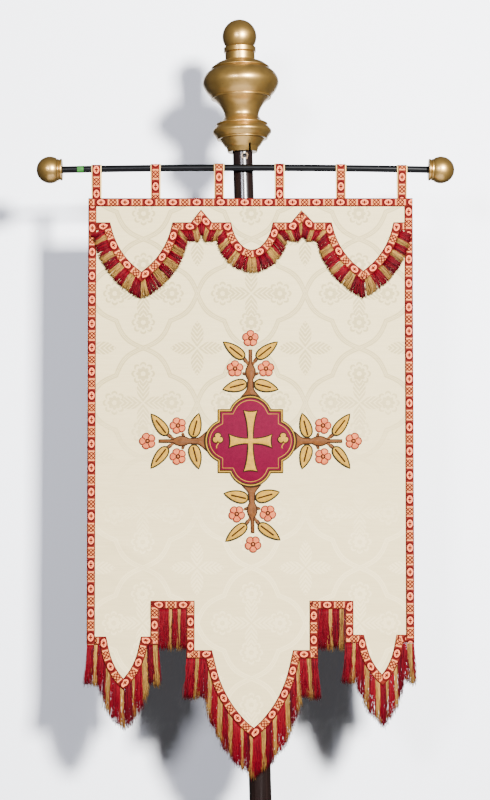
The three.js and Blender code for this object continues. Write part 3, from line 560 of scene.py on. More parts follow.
# Lattice of diamonds, then the pale bars that part it from the roundel.
rise = node("Math.ADD", to_lattice, side)
fall = node("Math.SUBTRACT", to_lattice, side)
rise = node("Math.PINGPONG", rise, LATTICE["pitch"])
fall = node("Math.PINGPONG", fall, LATTICE["pitch"])
line = node("Math.LESS_THAN", node("Math.MINIMUM", rise, fall), LATTICE["line"])
heart = node("Math.GREATER_THAN", node("Math.ADD", rise, fall), LATTICE["heart"])
lattice = node("Mix.RGBA", out=2, sockets={0: line, 6: linear("#c06a3a"), 7: linear("#3a0d09")})
lattice = node("Mix.RGBA", out=2, sockets={0: heart, 6: lattice, 7: linear("#4a3c1a")})
in_lattice = node("Math.LESS_THAN", to_lattice, LATTICE["half_length"])
colour = node("Mix.RGBA", out=2, sockets={0: in_lattice, 6: linear("#5c1a12"), 7: lattice})
bar = node("Math.COMPARE", along, PALE_BAR["along"], PALE_BAR["half"])
short = node("Math.LESS_THAN", side, PALE_BAR["reach"])
bar = node("Math.MULTIPLY", bar, short)
colour = node("Mix.RGBA", out=2, sockets={0: bar, 6: colour, 7: linear("#c07446")})

# Roundel: dark ring, pale ring, dark heart with four pale petals.
oval_x = node("Math.DIVIDE", along, ROUNDEL["half_length"])
oval_y = node("Math.DIVIDE", side, ROUNDEL["half_width"])
oval = node("VectorMath.LENGTH", node("CombineXYZ", oval_x, oval_y), out="Value")
for reach, shade_hex in ((1.1, "#400706"), (0.72, "#d26a46"), (0.44, "#400706")):
    inside = node("Math.LESS_THAN", oval, reach)
    colour = node("Mix.RGBA", out=2, sockets={0: inside, 6: colour, 7: linear(shade_hex)})
petal_x = node("Math.SUBTRACT", along, ROUNDEL["petal"][0])
petal_y = node("Math.SUBTRACT", side, ROUNDEL["petal"][1])
petal = node("VectorMath.LENGTH", node("CombineXYZ", petal_x, petal_y), out="Value")
petal = node("Math.LESS_THAN", petal, ROUNDEL["petal_radius"])
colour = node("Mix.RGBA", out=2, sockets={0: petal, 6: colour, 7: linear("#c87042")})

# Edge lines, and the pale selvage that only the wider loops show.
for inner, shade_hex in ((6.4, "#48100c"), (7.8, "#e0b86e")):
    outside = node("Math.GREATER_THAN", side, inner)
    colour = node("Mix.RGBA", out=2, sockets={0: outside, 6: colour, 7: linear(shade_hex)})
ROW_OF_WEAVE = 1.3
weft = node("Math.SINE", node("Math.MULTIPLY", thread.outputs["X"], 2 * math.pi / ROW_OF_WEAVE))
relief = node("Bump", sockets={"Height": weft, "Strength": 0.3, "Distance": 0.0003})
cotton = node("BsdfPrincipled", sockets={
    "Base Color": colour, "Roughness": 0.8, "Normal": relief, "Specular IOR Level": 0.05})
node("OutputMaterial", cotton)
print("braid nodes:", len(braid.node_tree.nodes))

# %% [markdown]
# ## Strips of braid
# A strip is a short row of edges across the braid, pulled along its line step by step. At a corner the
# strip is mitred, as the real braid is where it is folded, and each corner of the mesh keeps its place
# along the straight thread, so the pattern does not lean. The middle stands a little proud of the edges.

# %% Braid strips
ACROSS = np.linspace(-0.5, 0.5, 5)
BRAID_STEP, BRAID_CROWN = 5, 0.3


def woven_strip(name, width, alongs, spot, nodes):
    """Pulls a row across the braid through all the steps; spot(step, share) gives each corner's place."""
    bm = bmesh.new()
    thread = bm.verts.layers.float_vector.new("thread")
    first = [bm.verts.new(spot(0, share)) for share in ACROSS]
    for corner, share, along in zip(first, ACROSS, alongs[0]):
        corner[thread] = (along, share * width, 0)
    row = [bm.edges.new(pair) for pair in zip(first, first[1:])]
    for step in range(1, len(alongs)):
        corners, row = pull_row(bm, row)
        for corner in corners:
            across = corner[thread].y
            column = round((across / width + 0.5) * (len(ACROSS) - 1))
            corner[thread] = (alongs[step][column], across, 0)
            corner.co = spot(step, ACROSS[column])
    strip = make_piece(name, mesh_from(bm, name), [braid], nodes)
    thicken(strip, BRAID_THICKNESS)
    return strip


def flat_braid(node, runs, distance, first_roundel):
    near, far = rails(runs, [0, distance], BRAID_STEP)
    middle, mitre = (near + far) / 2, far - near
    way = np.gradient(middle, axis=0)
    way /= np.linalg.norm(way, axis=1, keepdims=True)
    alongs = travel(middle) - first_roundel
    alongs = alongs[:, None] + (mitre * way).sum(1)[:, None] * ACROSS
    front = PANEL_THICKNESS / 2 + LAYER_GAP + BRAID_THICKNESS / 2

    def spot(step, share):
        x, z = near[step] + mitre[step] * (share + 0.5)
        return on_cloth(x, z, front + BRAID_CROWN * (1 - (2 * share) ** 2))

    return woven_strip(node + "_woven", BRAID_WIDTH, alongs, spot, [node])


corner = BRAID_WIDTH + EDGE_GAP
left_drop, right_drop = DROPS[0], DROPS[2]
hem_runs = []
for i, drop in enumerate(DROPS):
    hem_runs += drop_runs(drop, corner if i == 0 else 0, corner if i == 2 else 0)
    if i < 2:
        turn = [(drop["right"], drop["edge"]), (drop["right"], SLOT_TOP),
                (DROPS[i + 1]["left"], SLOT_TOP), (DROPS[i + 1]["left"], DROPS[i + 1]["edge"])]
        hem_runs += [np.array(pair) for pair in zip(turn, turn[1:])]
BRAIDS = [
    {"node": "braid_top", "runs": [np.array([(-PANEL_HALF, 0.0), (PANEL_HALF, 0.0)])],
     "distance": BRAID_WIDTH, "roundel": 24.3},
    {"node": "braid_left", "runs": [np.array([(-PANEL_HALF, left_drop["edge"]), (-PANEL_HALF, -corner)])],
     "distance": BRAID_WIDTH, "roundel": 14.0},
    {"node": "braid_right", "runs": [np.array([(PANEL_HALF, -corner), (PANEL_HALF, right_drop["edge"])])],
     "distance": BRAID_WIDTH, "roundel": 10.0},
    {"node": "braid_hem", "runs": hem_runs, "distance": -BRAID_WIDTH, "roundel": 20.0},
    {"node": "braid_valance", "runs": valance_runs(EDGE_GAP), "distance": BRAID_WIDTH, "roundel": 12.7},
]
trims = [flat_braid(row["node"], row["runs"], row["distance"], row["roundel"]) for row in BRAIDS]
print("braid strips:", [len(trim.data.polygons) for trim in trims])

# %% [markdown]
# ## Loops
# Each loop is a short length of a slightly wider braid that goes over the bar, with both ends sewn behind
# the top edge. Its line is two straight legs and the round of the bar, worked out as the solid was.

# %% Loops over the bar
BAR_RADIUS, BAR_X, BAR_HEIGHT, BAR_DROOP, BAR_SHOWN = 6.6, -42.4, 1707.3, 3.8, 699.7
LOOP_WIDTH, LOOP_OVERLAP, LOOP_RISE = 19, 14, 2
LOOP_ROUNDEL, LOOP_SHIFT = 9, 14
LOOP_CENTRES = [-294, -181.2, -59.9, 55.6, 172.7, 289.3]


def loop_line(centre):
    share = (PANEL_X + centre - BAR_X) / (BAR_SHOWN / 2)
    axis = np.array([0, BAR_HEIGHT - BAR_DROOP * share ** 2 - PANEL_TOP])
    radius = BAR_RADIUS + EDGE_GAP + BRAID_THICKNESS / 2
    front_leg = -(PANEL_THICKNESS / 2 + LAYER_GAP + BRAID_THICKNESS / 2)
    back_leg = front_leg - BRAID_THICKNESS - LAYER_GAP
    angles = []
    for leg, turn in ((front_leg, 1), (back_leg, -1)):
        away = np.array([leg, LOOP_RISE]) - axis
        angles.append(math.atan2(away[1], away[0]) + turn * math.acos(radius / np.linalg.norm(away)))
    turn = np.linspace(angles[0], angles[1] + 2 * math.pi, 25)
    arc = axis + radius * np.stack([np.cos(turn), np.sin(turn)], -1)
    up = np.linspace(0, 1, 8)[:, None]
    legs = [np.array([(leg, -LOOP_OVERLAP), (leg, LOOP_RISE)]) for leg in (front_leg, back_leg)]
    rising = legs[0][1] + (arc[0] - legs[0][1]) * up
    falling = arc[-1] + (legs[1][1] - arc[-1]) * up
    return np.concatenate([legs[0][:1], rising[:-1], arc, falling[1:], legs[1][:1]])


loops = []
for number, centre in enumerate(LOOP_CENTRES, 1):
    line = loop_line(centre)
    alongs = travel(line)

    def spot(step, share, line=line, centre=centre):
        forward, up = line[step]
        return ((PANEL_X + centre + share * LOOP_WIDTH) * MM, (BAR_Y - forward) * MM, (PANEL_TOP + up) * MM)

    threads = np.repeat(alongs[:, None] - LOOP_ROUNDEL - LOOP_SHIFT * (number % 3), len(ACROSS), axis=1)
    loop = woven_strip(f"loop_{number}", LOOP_WIDTH, threads, spot, [f"tab_{number}"])
    loops.append(loop)
print("loops:", len(loops), "cut", round(float(alongs[-1])), "mm long")

# %% [markdown]
# ## Fringe
# Bunched fringe is silk thread in turns of red and gold, knotted into a narrow heading. On the hem it hangs
# about 73 mm and swings out a little at the sides. On the valance it is short, thick and fanned out square
# to the braid. Hair particles would be lighter to make, but the threads are wanted as a mesh, so each is a
# three-sided tube and all those of one heading are joined from arrays. A thread keeps three numbers for its
# dye and its painted shade: whether it is gold, how light it is, and how far down each point lies, which
# is painted darker towards the end.

# %% Fringe material
fringe_silk, node = start_material("dyed_silk_fringe")
dye_and_shade = node("SeparateXYZ", node("Attribute", attribute_name="dye_and_shade", out="Vector")).node
red = node("Mix.RGBA", out=2, sockets={0: dye_and_shade.outputs["Y"], 6: linear("#2a0209"), 7: linear("#6c0412")})
gold = node("Mix.RGBA", out=2, sockets={0: dye_and_shade.outputs["Y"], 6: linear("#48321a"), 7: linear("#a07634")})
colour = node("Mix.RGBA", out=2, sockets={0: dye_and_shade.outputs["X"], 6: red, 7: gold})
# Painted shade: each thread is painted darker towards its end, where the fringe's threads shade one another.
low = node("Math.MULTIPLY", node("Math.POWER", dye_and_shade.outputs["Z"], 2.0), 0.35)
colour = node("Mix.RGBA", out=2, sockets={0: low, 6: colour, 7: linear("#160205")})
spun = node("BsdfPrincipled", sockets={"Base Color": colour, "Roughness": 0.5, "Specular IOR Level": 0.06})
node("OutputMaterial", spun)
print("fringe nodes:", len(fringe_silk.node_tree.nodes))


# %% Threads
chance = np.random.default_rng(7)


def join_threads(node, centres, radius, is_gold, tone, t):
    """One mesh of three-sided tubes along rows of places, in metres (threads, points, 3)."""
    name = node + "_threads"
    threads, points, _ = centres.shape
    way = np.gradient(centres, axis=1)
    way /= np.linalg.norm(way, axis=2, keepdims=True)
    side = np.cross(way, (0, -1, 0))
    side /= np.linalg.norm(side, axis=2, keepdims=True)
    out = np.cross(side, way)
    turn = chance.uniform(0, 2 * np.pi, (threads, 1, 1)) + np.arange(3) * 2 * np.pi / 3
    taper = np.linspace(1, 0.6, points)[None, :, None]
    ring = radius * taper
    corners = (centres[:, :, None] + (ring * np.cos(turn))[..., None] * side[:, :, None]
               + (ring * np.sin(turn))[..., None] * out[:, :, None])
    index = np.arange(threads * points * 3).reshape(threads, points, 3)
    here, on = index[:, :-1], index[:, 1:]
    walls = np.stack([here, np.roll(here, -1, 2), np.roll(on, -1, 2), on], -1).reshape(-1, 4)
    caps = np.concatenate([index[:, 0, ::-1], index[:, -1]])
    mesh = bpy.data.meshes.new(name)
    mesh.from_pydata(corners.reshape(-1, 3).tolist(), [], walls.tolist() + caps.tolist())
    layer = mesh.attributes.new("dye_and_shade", "FLOAT_VECTOR", "POINT")
    dye_and_shade = np.stack(np.broadcast_arrays(is_gold[:, None].astype(float), tone[:, None], t), -1)
    dye_and_shade = np.repeat(dye_and_shade[:, :, None], 3, 2)
    layer.data.foreach_set("vector", dye_and_shade.reshape(-1).astype(np.float32))
    bm = bmesh.new()
    bm.from_mesh(mesh)
    bmesh.ops.recalc_face_normals(bm, faces=bm.faces)
    bm.to_mesh(mesh)
    bm.free()
    return make_piece(name, mesh, [fringe_silk], [node], sharp=180)


def bunches(places, widths):
    """Which bunch each place falls in: its middle, and whether it is gold."""
    start, end, is_gold, spans = places.min(), places.max(), False, []
    while start < end:
        width = widths["gold" if is_gold else "red"] * chance.uniform(0.7, 1.3)
        spans.append((start, min(start + width, end), is_gold))
        start, is_gold = start + width, not is_gold
    starts = np.array([span[0] for span in spans])
    which = np.clip(np.searchsorted(starts, places, side="right") - 1, 0, len(spans) - 1)
    middles = np.array([(span[0] + span[1]) / 2 for span in spans])
    return middles[which], np.array([span[2] for span in spans])[which], which


def waver(t, size, fewest, most, count):
    """A wave down each thread, of its own size and number of turns."""
    sizes = chance.normal(0, size, (count, 1))
    turns = chance.uniform(fewest, most, (count, 1))
    return sizes * np.sin(2 * np.pi * (t * turns + chance.uniform(0, 1, (count, 1))))


# %% Hem fringe
HEM_THREADS_PER_MM, HEM_LENGTH, HEM_FLARE = 8, 73, 0.05
HEM_BUNCH, HEM_THREAD = {"red": 15, "gold": 7}, 0.5
# How far threads stray, in mm: in length, sideways, at their ends and forward. Bunches differ by a step.
HEM_STRAY, HEM_STEP = {"length": 3.0, "wave": 1.0, "end": 2.0, "ripple": 0.35}, 2.5


def hem_fringe(node, edge, flare):
    count = int((edge[-1, 0] - edge[0, 0]) * HEM_THREADS_PER_MM)
    root_x = np.sort(chance.uniform(edge[0, 0] + 0.4, edge[-1, 0] - 0.4, count))
    middle, is_gold, which = bunches(root_x, HEM_BUNCH)
    root_z = np.interp(root_x, edge[:, 0], edge[:, 1]) - EDGE_GAP
    t = np.linspace(0, 1, 10)[None, :]
    length = HEM_LENGTH + chance.normal(0, HEM_STRAY["length"], count) + HEM_STEP * np.sin(which * 2.4)
    length = length[:, None]
    centre = (edge[0, 0] + edge[-1, 0]) / 2
    swing = flare * (root_x - centre) / (edge[-1, 0] - centre)
    gather = (middle - root_x)[:, None] * (0.1 * np.sin(np.pi * np.minimum(t * 1.3, 1)) - 0.2 * t ** 2)
    wave = waver(t, HEM_STRAY["wave"], 0.8, 2.2, count)
    stray = chance.normal(0, HEM_STRAY["end"], (count, 1)) * t ** 1.5
    x = root_x[:, None] + swing[:, None] * length * t + gather + (wave + stray) * np.minimum(4 * t, 1)
    z = root_z[:, None] - length * t
    layer = chance.uniform(-0.3, 1.5, (count, 1))
    puff = np.where(is_gold, 0.0, 0.9)[:, None] * np.sin(np.pi * np.minimum(t * 1.1, 1))
    ripple = waver(t, HEM_STRAY["ripple"], 1, 2, count)
    front = layer + puff + ripple * np.minimum(4 * t, 1)
    tone = np.clip(chance.normal(0.5, 0.32, count) + 0.15 * np.sin(which * 1.7), 0, 1)
    return join_threads(node, on_cloth(x, z, front), HEM_THREAD * MM, is_gold, tone, t)


for hem, drop in zip(hems, DROPS):
    hem_fringe("fringe_" + drop["name"], hem, HEM_FLARE)
for name, left, right in (("left_slot", DROPS[0], DROPS[1]), ("right_slot", DROPS[1], DROPS[2])):
    edge = np.array([(left["right"] + 1, SLOT_TOP), (right["left"] - 1, SLOT_TOP)])
    hem_fringe("fringe_" + name, edge, 0)

# %% [markdown]
# ### The valance fringe
# Each tuft spreads from a tight root under the braid, swells forward, and ends in a soft brush. The way
# that it points is the braid's own outward normal, averaged over a short stretch so that tufts turn evenly
# round corners.

# %% Valance fringe
VALANCE_THREADS_PER_MM, SHORTEST, LONGEST, SPREAD = 4.6, 23, 32, 32
VALANCE_BUNCH, VALANCE_THREAD = {"red": 19, "gold": 11.4}, 0.6
TUFT_STRAY, DEEPEST_FALL = {"length": 1.3, "wave": 0.55, "end": 1.0}, 95
root_line = rails(valance_runs(6), [BRAID_WIDTH - 0.5], 4)[0]
steps = np.diff(root_line, axis=0)
travelled = travel(root_line)
normals = np.stack([steps[:, 1], -steps[:, 0]], -1)
count = int(travelled[-1] * VALANCE_THREADS_PER_MM)
root = np.sort(chance.uniform(0.5, travelled[-1] - 0.5, count))
middle, is_gold, which = bunches(root, VALANCE_BUNCH)
step_middle = (travelled[1:] + travelled[:-1]) / 2


def fan(places):
    share = np.maximum(0, 1 - np.abs(step_middle[None, :] - places[:, None]) / (2 * SPREAD))
    way = share @ normals
    return way / np.linalg.norm(way, axis=1, keepdims=True)


t = np.linspace(0, 1, 8)[None, :]
way = fan(middle + 0.8 * (root - middle))
root_x, root_z = (np.interp(root, travelled, root_line[:, k])[:, None] for k in (0, 1))
fall = np.clip((VALANCE_LEVEL - BRAID_WIDTH - root_z[:, 0]) / DEEPEST_FALL, 0, 1)
length = (SHORTEST + (LONGEST - SHORTEST) * fall + chance.normal(0, TUFT_STRAY["length"], count))[:, None]
along_braid = np.stack([-way[:, 1], way[:, 0]], -1)
off_middle = (root - middle)[:, None] * (-0.06 * np.sin(np.pi * np.minimum(t * 2.2, 1)) + 0.16 * t ** 2)
wave = waver(t, TUFT_STRAY["wave"], 0.7, 1.6, count) * np.minimum(3 * t, 1)
wave = wave + chance.normal(0, TUFT_STRAY["end"], (count, 1)) * t ** 2
x = root_x + way[:, :1] * length * t + along_braid[:, :1] * (off_middle + wave)
z = root_z + way[:, 1:] * length * t + along_braid[:, 1:] * (off_middle + wave)
deep = chance.uniform(0, 1, (count, 1))
half_tuft = np.where(is_gold, VALANCE_BUNCH["gold"] / 2, VALANCE_BUNCH["red"] / 2)
edge_of_tuft = (np.abs(root - middle) / half_tuft)[:, None]
swell = (1 - 0.5 * np.clip(edge_of_tuft, 0, 1) ** 2) * np.sin(np.pi * (0.15 + 0.75 * t)) ** 0.7
front = 1.5 + 0.6 * deep + (1.3 + 3.6 * deep * swell) * np.minimum(5 * t, 1)
tone = np.clip(chance.normal(0.5, 0.34, count), 0, 1)
places = on_cloth(x, z, front)
join_threads("fringe_valance", places, VALANCE_THREAD * MM, is_gold, tone, t)

# %% [markdown]
# ## Embroidery silks
# The floral cross is appliqué: padded shapes worked in satin stitch, each held down by a couched cord round
# its edge. Satin stitch shows as fine parallel threads that change their gloss with their slant. The
# threads are about half a millimetre apart on the real cloth and are drawn at 1.5 mm here, the finest that
# the render can show, as a bump and as painted highlight on each thread and painted shade between them.


# %% Embroidery materials
# Sizes of the uneven patches and of the cord's ply. A wave texture of scale 1 is pi / 10 m long.
UNEVEN, TWIST = 6.25, 1.65347


def satin_stitch(name, dark, light, slant, spacing=1.5, roughness=0.45):
    """Silk in parallel threads, slanting away from the middle of the shape on both sides."""
    material, node = start_material(name)
    stitch = node("SeparateXYZ", node("Attribute", attribute_name="stitch", out="Vector")).node
    side = node("Math.ABSOLUTE", stitch.outputs["Y"])
    lean = node("Math.MULTIPLY_ADD", side, slant, stitch.outputs["X"])
    lean = node("Math.MULTIPLY", lean, 2 * math.pi / spacing)
    threads = node("Math.SINE", lean)
    place = node("TexCoord", out="Object")
    uneven = node("TexNoise", place, sockets={"Scale": per_metre(UNEVEN), "Detail": 3.0})
    # Partly the silk's own uneven tone, partly painted light: a lighter crest on each thread, painted shade
    # between.
    shade = node("Math.MULTIPLY_ADD", threads, 0.16, uneven)
    colour = node("Mix.RGBA", out=2, sockets={0: shade, 6: linear(dark), 7: linear(light)})
    relief = node("Bump", sockets={"Height": threads, "Strength": 0.35, "Distance": 0.0003})
    silk = node("BsdfPrincipled", sockets={
        "Base Color": colour, "Roughness": roughness, "Normal": relief, "Specular IOR Level": 0.05})
    node("OutputMaterial", silk)
    return material


def couched_cord(name, dark, light):
    """A two-ply cord: its twist is a slanting ripple, too fine to part at this distance. The ripple is a bump
    and painted light: lighter on each ply's crest, painted shade in the groove between plies.
    """
    material, node = start_material(name)
    place = node("TexCoord", out="Object")
    twist = node("TexWave", place, out=1, bands_direction="DIAGONAL",
                 sockets={"Scale": per_metre(TWIST) * math.pi / 10, "Distortion": 2.0})
    # Painted shade and highlight: darker in the grooves of the twist, lighter on the crests.
    colour = node("Mix.RGBA", out=2, sockets={0: twist, 6: linear(dark), 7: linear(light)})
    relief = node("Bump", sockets={"Height": twist, "Strength": 0.4, "Distance": 0.0003})
    silk = node("BsdfPrincipled", sockets={
        "Base Color": colour, "Roughness": 0.6, "Normal": relief, "Specular IOR Level": 0.05})
    node("OutputMaterial", silk)
    return material


gold_satin = satin_stitch("gold_silk_satin_stitch", "#6e5214", "#ac8024", 0.8)
pink_satin = satin_stitch("pink_silk_satin_stitch", "#863723", "#c46a3a", 0.0)
brown_satin = satin_stitch("brown_silk_satin_stitch", "#2e1a0c", "#6a3e1a", 1.0, spacing=2.4)
crimson_ground = satin_stitch("crimson_silk_repp", "#440118", "#560120", 0.0, roughness=0.6)
olive_cord = couched_cord("olive_couched_cord", "#131109", "#241f11")
red_cord = couched_cord("red_couched_cord", "#4a140e", "#6a2018")
brown_cord = couched_cord("brown_couched_cord", "#1c0d06", "#301a0c")
print("embroidery finishes made")

# %% [markdown]
# ## Cutting and couching
# A patch starts as one face round its outline. Extruding it gives the shape its thickness, and an inset
# that rises gives the rounded shoulder of padded stitching. Cords are laid as a bevelled curve, which turns
# corners cleanly, and are then joined to the patch as a mesh.


# %% Patch and cord helpers
MOTIF_BACK = PANEL_THICKNESS / 2 + LAYER_GAP
MEDALLION = {"x": 0, "z": -463.6, "half_width": 62, "half_height": 60.5, "lobe_radius": 42, "lobe_out": 44.6,
             "thickness": 1.5}
# Thickness and how much of it is the rounded pad, then the radius of each kind of cord, in mm.
PATCH = {"stem": (1.3, 0.4), "spur": (1.1, 0.3), "leaf": (1.6, 0.7), "flower": (1.6, 0.6),
         "medallion": (1.5, 0.4), "crimson": (1.15, 0.15), "gold": (1.3, 0.5)}
CORD_RADIUS = {"stem": 1.1, "leaf": 1.5, "vein": 1.6, "petal": 1.2, "eye": 1.4, "rim": 1.2, "band": 1.3,
               "inner": 0.6, "cross": 1.3, "trefoil": 1.1, "tail": 1.0}
SHOULDER_SLOPE = 1.6


def new_motif():
    bm = bmesh.new()
    bm.verts.layers.float_vector.new("stitch")
    return bm


def sew_patch(bm, outline, spot, back, kind, finish=0):
    """A raised shape of a named kind; spot turns its own sizes into a place on the cloth."""
    thickness, pad = PATCH[kind]
    stitch = bm.verts.layers.float_vector["stitch"]
    corners = []
    for along, side in outline:
        x, z = spot(along, side)
        corner = bm.verts.new(on_cloth(x, z, back))
        corner[stitch] = (along, side, 0)
        corners.append(corner)
    face = bm.faces.new(corners)
    face.material_index = finish
    made = bmesh.ops.extrude_face_region(bm, geom=[face], use_keep_orig=True)["geom"]
    top = [g for g in made if isinstance(g, bmesh.types.BMFace)][0]
    bmesh.ops.translate(bm, verts=top.verts, vec=(0, -(thickness - pad) * MM, 0))
    top.normal_update()
    if top.normal.y > 0:
        top.normal_flip()
    bmesh.ops.inset_region(bm, faces=[top], thickness=SHOULDER_SLOPE * pad * MM, depth=pad * MM,
                           use_even_offset=True)
    bmesh.ops.triangulate(bm, faces=[top, face])


def cord_mesh(lines, radius, resolution):
    """Round cords along lines of places in metres, as one mesh; a line whose ends meet is closed."""
    curve = bpy.data.curves.new("cord", "CURVE")
    curve.dimensions = "3D"
    curve.bevel_depth = radius * MM
    curve.bevel_resolution = resolution
    curve.use_fill_caps = True
    for line in lines:
        closed = bool(np.allclose(line[0], line[-1]))
        points = line[:-1] if closed else line
        spline = curve.splines.new("POLY")
        spline.points.add(len(points) - 1)
        spline.points.foreach_set("co", np.column_stack([points, np.ones(len(points))]).ravel())
        spline.use_cyclic_u = closed
    holder = bpy.data.objects.new("cord", curve)
    mesh = bpy.data.meshes.new_from_object(holder)
    bpy.data.objects.remove(holder)
    bpy.data.curves.remove(curve)
    mesh.materials.clear()
    return mesh


def couch(bm, lines, cord, finish):
    """Lays cords of a named kind on a motif."""
    mesh = cord_mesh(lines, CORD_RADIUS[cord], 1)
    before = len(bm.faces)
    bm.from_mesh(mesh)
    bm.faces.ensure_lookup_table()
    for face in bm.faces[before:]:
        face.material_index = finish
    bpy.data.meshes.remove(mesh)


def cord_line(outline, spot, front, closed=True):
    points = np.array([spot(along, side) for along, side in outline])
    line = on_cloth(points[:, 0], points[:, 1], front)
    return np.concatenate([line, line[:1]]) if closed else line


def sew_on(bm, node, materials):
    name = node + "_stitched"
    make_piece(name, mesh_from(bm, name), materials, [node])


def sprig_spot(turn):
    """From a sprig's own sizes (out from the medallion, across) to the cloth."""
    cos, sin = math.cos(math.radians(turn)), math.sin(math.radians(turn))
    return lambda out, across: (MEDALLION["x"] + across * cos - out * sin,
                                MEDALLION["z"] + across * sin + out * cos)


print("motifs lie", MOTIF_BACK, "mm before the cloth's middle")

# %% [markdown]
# ## Sprigs
# Four like sprigs grow out of the medallion: a stem with a flared foot and a bulb, two pairs of spurs, and
# four leaves. A leaf is gold satin stitch that slants from a brown vein, with a dark olive cord round it.

# %% Sprig shapes
LEAVES = [
    {"base": (158, 12), "tip": (188.5, 51.5), "width": 20},
    {"base": (109.6, 7.5), "tip": (98, 52.5), "width": 22},
]
SPURS = [
    {"from": (141, 0), "to": (163, 17), "width": 5.4},
    {"from": (110, 0), "to": (109, 13), "width": 3.6},
    {"from": (124, 2), "to": (129, 14.5), "width": 3.4},
]
STEM = {"foot_gap": 0.9, "flare": 26, "neck": (101, 5.6), "bulb_start": (117, 4.6), "bulb": (132, 14.4),
        "bulb_end": (147, 2.7), "top": 173.5}


def leaf_outline(length, width, steps=12):
    low = swerve((0, 0), (0.02 * length, -0.72 * width), (0.62 * length, -0.62 * width), (length, 0), steps)
    return np.concatenate([low, (low * (1, -1))[-2:0:-1]])


def stem_outline():
    flare = math.radians(STEM["flare"])
    foot = MEDALLION["lobe_radius"] + STEM["foot_gap"]
    arc = np.linspace(-flare, flare, 9)
    foot_line = np.stack([MEDALLION["lobe_out"] + foot * np.cos(arc), foot * np.sin(arc)], -1)
    neck, start, bulb, end = (np.array(STEM[key]) for key in ("neck", "bulb_start", "bulb", "bulb_end"))
    right = np.concatenate([bend(foot_line[-1], neck - (neck[1], 0), neck, 6)[1:], bend(start, bulb, end, 8),
                            [(STEM["top"], end[1])]])
    return np.concatenate([foot_line, right, (right * (1, -1))[::-1]])


def lying_between(base, tip, side, spot):
    """A shape drawn along its own length, laid from base to tip on one side of the sprig."""
    out, across = base[0], base[1] * side
    run = np.array((tip[0] - base[0], (tip[1] - base[1]) * side))
    length = float(np.linalg.norm(run))
    cos, sin = run / length
    return length, lambda along, over: spot(out + along * cos - over * sin, across + along * sin + over * cos)


# %% Sprigs
SPRIGS = [("top", 0), ("left", 90), ("bottom", 181.4), ("right", 270)]
for name, turn in SPRIGS:
    spot = sprig_spot(turn)
    bm = new_motif()
    olive_lines, vein_lines, stem_lines = [], [], []
    sew_patch(bm, stem_outline(), spot, MOTIF_BACK, "stem", 1)
    stem_lines.append(cord_line(stem_outline(), spot, MOTIF_BACK + 1.2))
    for side in (-1, 1):
        for spur in SPURS:
            length, laid = lying_between(spur["from"], spur["to"], side, spot)
            half = spur["width"] / 2
            strap = np.array([(0, -half), (length, -half), (length + half, 0), (length, half), (0, half)])
            sew_patch(bm, strap, laid, MOTIF_BACK, "spur", 1)
            for edge in (-half, half):
                shown = np.array([(length * 0.45, edge), (length, edge)])
                stem_lines.append(cord_line(shown, laid, MOTIF_BACK + 0.5, closed=False))
        for leaf in LEAVES:
            length, laid = lying_between(leaf["base"], leaf["tip"], side, spot)
            outline = leaf_outline(length, leaf["width"])
            sew_patch(bm, outline, laid, MOTIF_BACK, "leaf")
            olive_lines.append(cord_line(outline, laid, MOTIF_BACK + 0.9))
            vein = np.array([(s * length, 0.0) for s in (0.08, 0.3, 0.5, 0.7)])
            vein_lines.append(cord_line(vein, laid, MOTIF_BACK + 1.9, closed=False))
    couch(bm, stem_lines, "stem", 3)
    couch(bm, olive_lines, "leaf", 2)
    couch(bm, vein_lines, "vein", 3)
    sew_on(bm, f"sprig_{name}", [gold_satin, brown_satin, olive_cord, brown_cord])

# %% [markdown]
# ## Flowers
# Each sprig has three flowers of five petals in pink satin stitch. A red cord follows the outline and runs
# in between the petals, and a brown ring with a gold knot makes the eye.

# %% Flowers
FLOWER = {"radius": 15.7, "waist": 0.7, "petals": 5}
FLOWER_PLACES = [("end", 195.3, 0), ("left", 137.5, -29.4), ("right", 137.5, 29.4)]


def petal_outline(petals, radius, waist, steps):
    angle = np.linspace(0, 2 * np.pi, petals * steps, endpoint=False)
    reach = radius * (waist + (1 - waist) * np.sqrt(np.abs(np.cos(petals * angle / 2))))
    return np.stack([reach * np.cos(angle), -reach * np.sin(angle)], -1)


for name, turn in SPRIGS:
    for where, out, across in FLOWER_PLACES:
        whole = sprig_spot(turn)
        spot = lambda along, side, whole=whole, out=out, across=across: whole(out + along, across + side)
        bm = new_motif()
        outline = petal_outline(FLOWER["petals"], FLOWER["radius"], FLOWER["waist"], 12)
        sew_patch(bm, outline, spot, MOTIF_BACK, "flower")
        red_lines = [cord_line(outline * 0.965, spot, MOTIF_BACK + 1.0)]
        for k in range(FLOWER["petals"]):
            angle = 2 * math.pi * (k + 0.5) / FLOWER["petals"]
            parting = np.array([(r * math.cos(angle), -r * math.sin(angle)) for r in (5.2, 8, 10.5)])
            red_lines.append(cord_line(parting, spot, MOTIF_BACK + 1.5, closed=False))
        couch(bm, red_lines, "petal", 1)
        ring = petal_outline(1, 3.4, 1.0, 16)
        couch(bm, [cord_line(ring, spot, MOTIF_BACK + 1.6)], "eye", 2)
        bmesh.ops.create_uvsphere(bm, u_segments=10, v_segments=6, radius=2.1 * MM,
                                  matrix=Matrix.Translation(on_cloth(*spot(0, 0), MOTIF_BACK + 1.2)))
        sew_on(bm, f"flower_{name}_{where}", [pink_satin, red_cord, brown_cord])

# %% [markdown]
# ## The medallion
# A barbed quatrefoil of crimson repp with a band of gold between two olive cords. Its middle carries a
# plain cross with flared ends, in gold satin stitch with an olive cord, and a gold trefoil on either side.


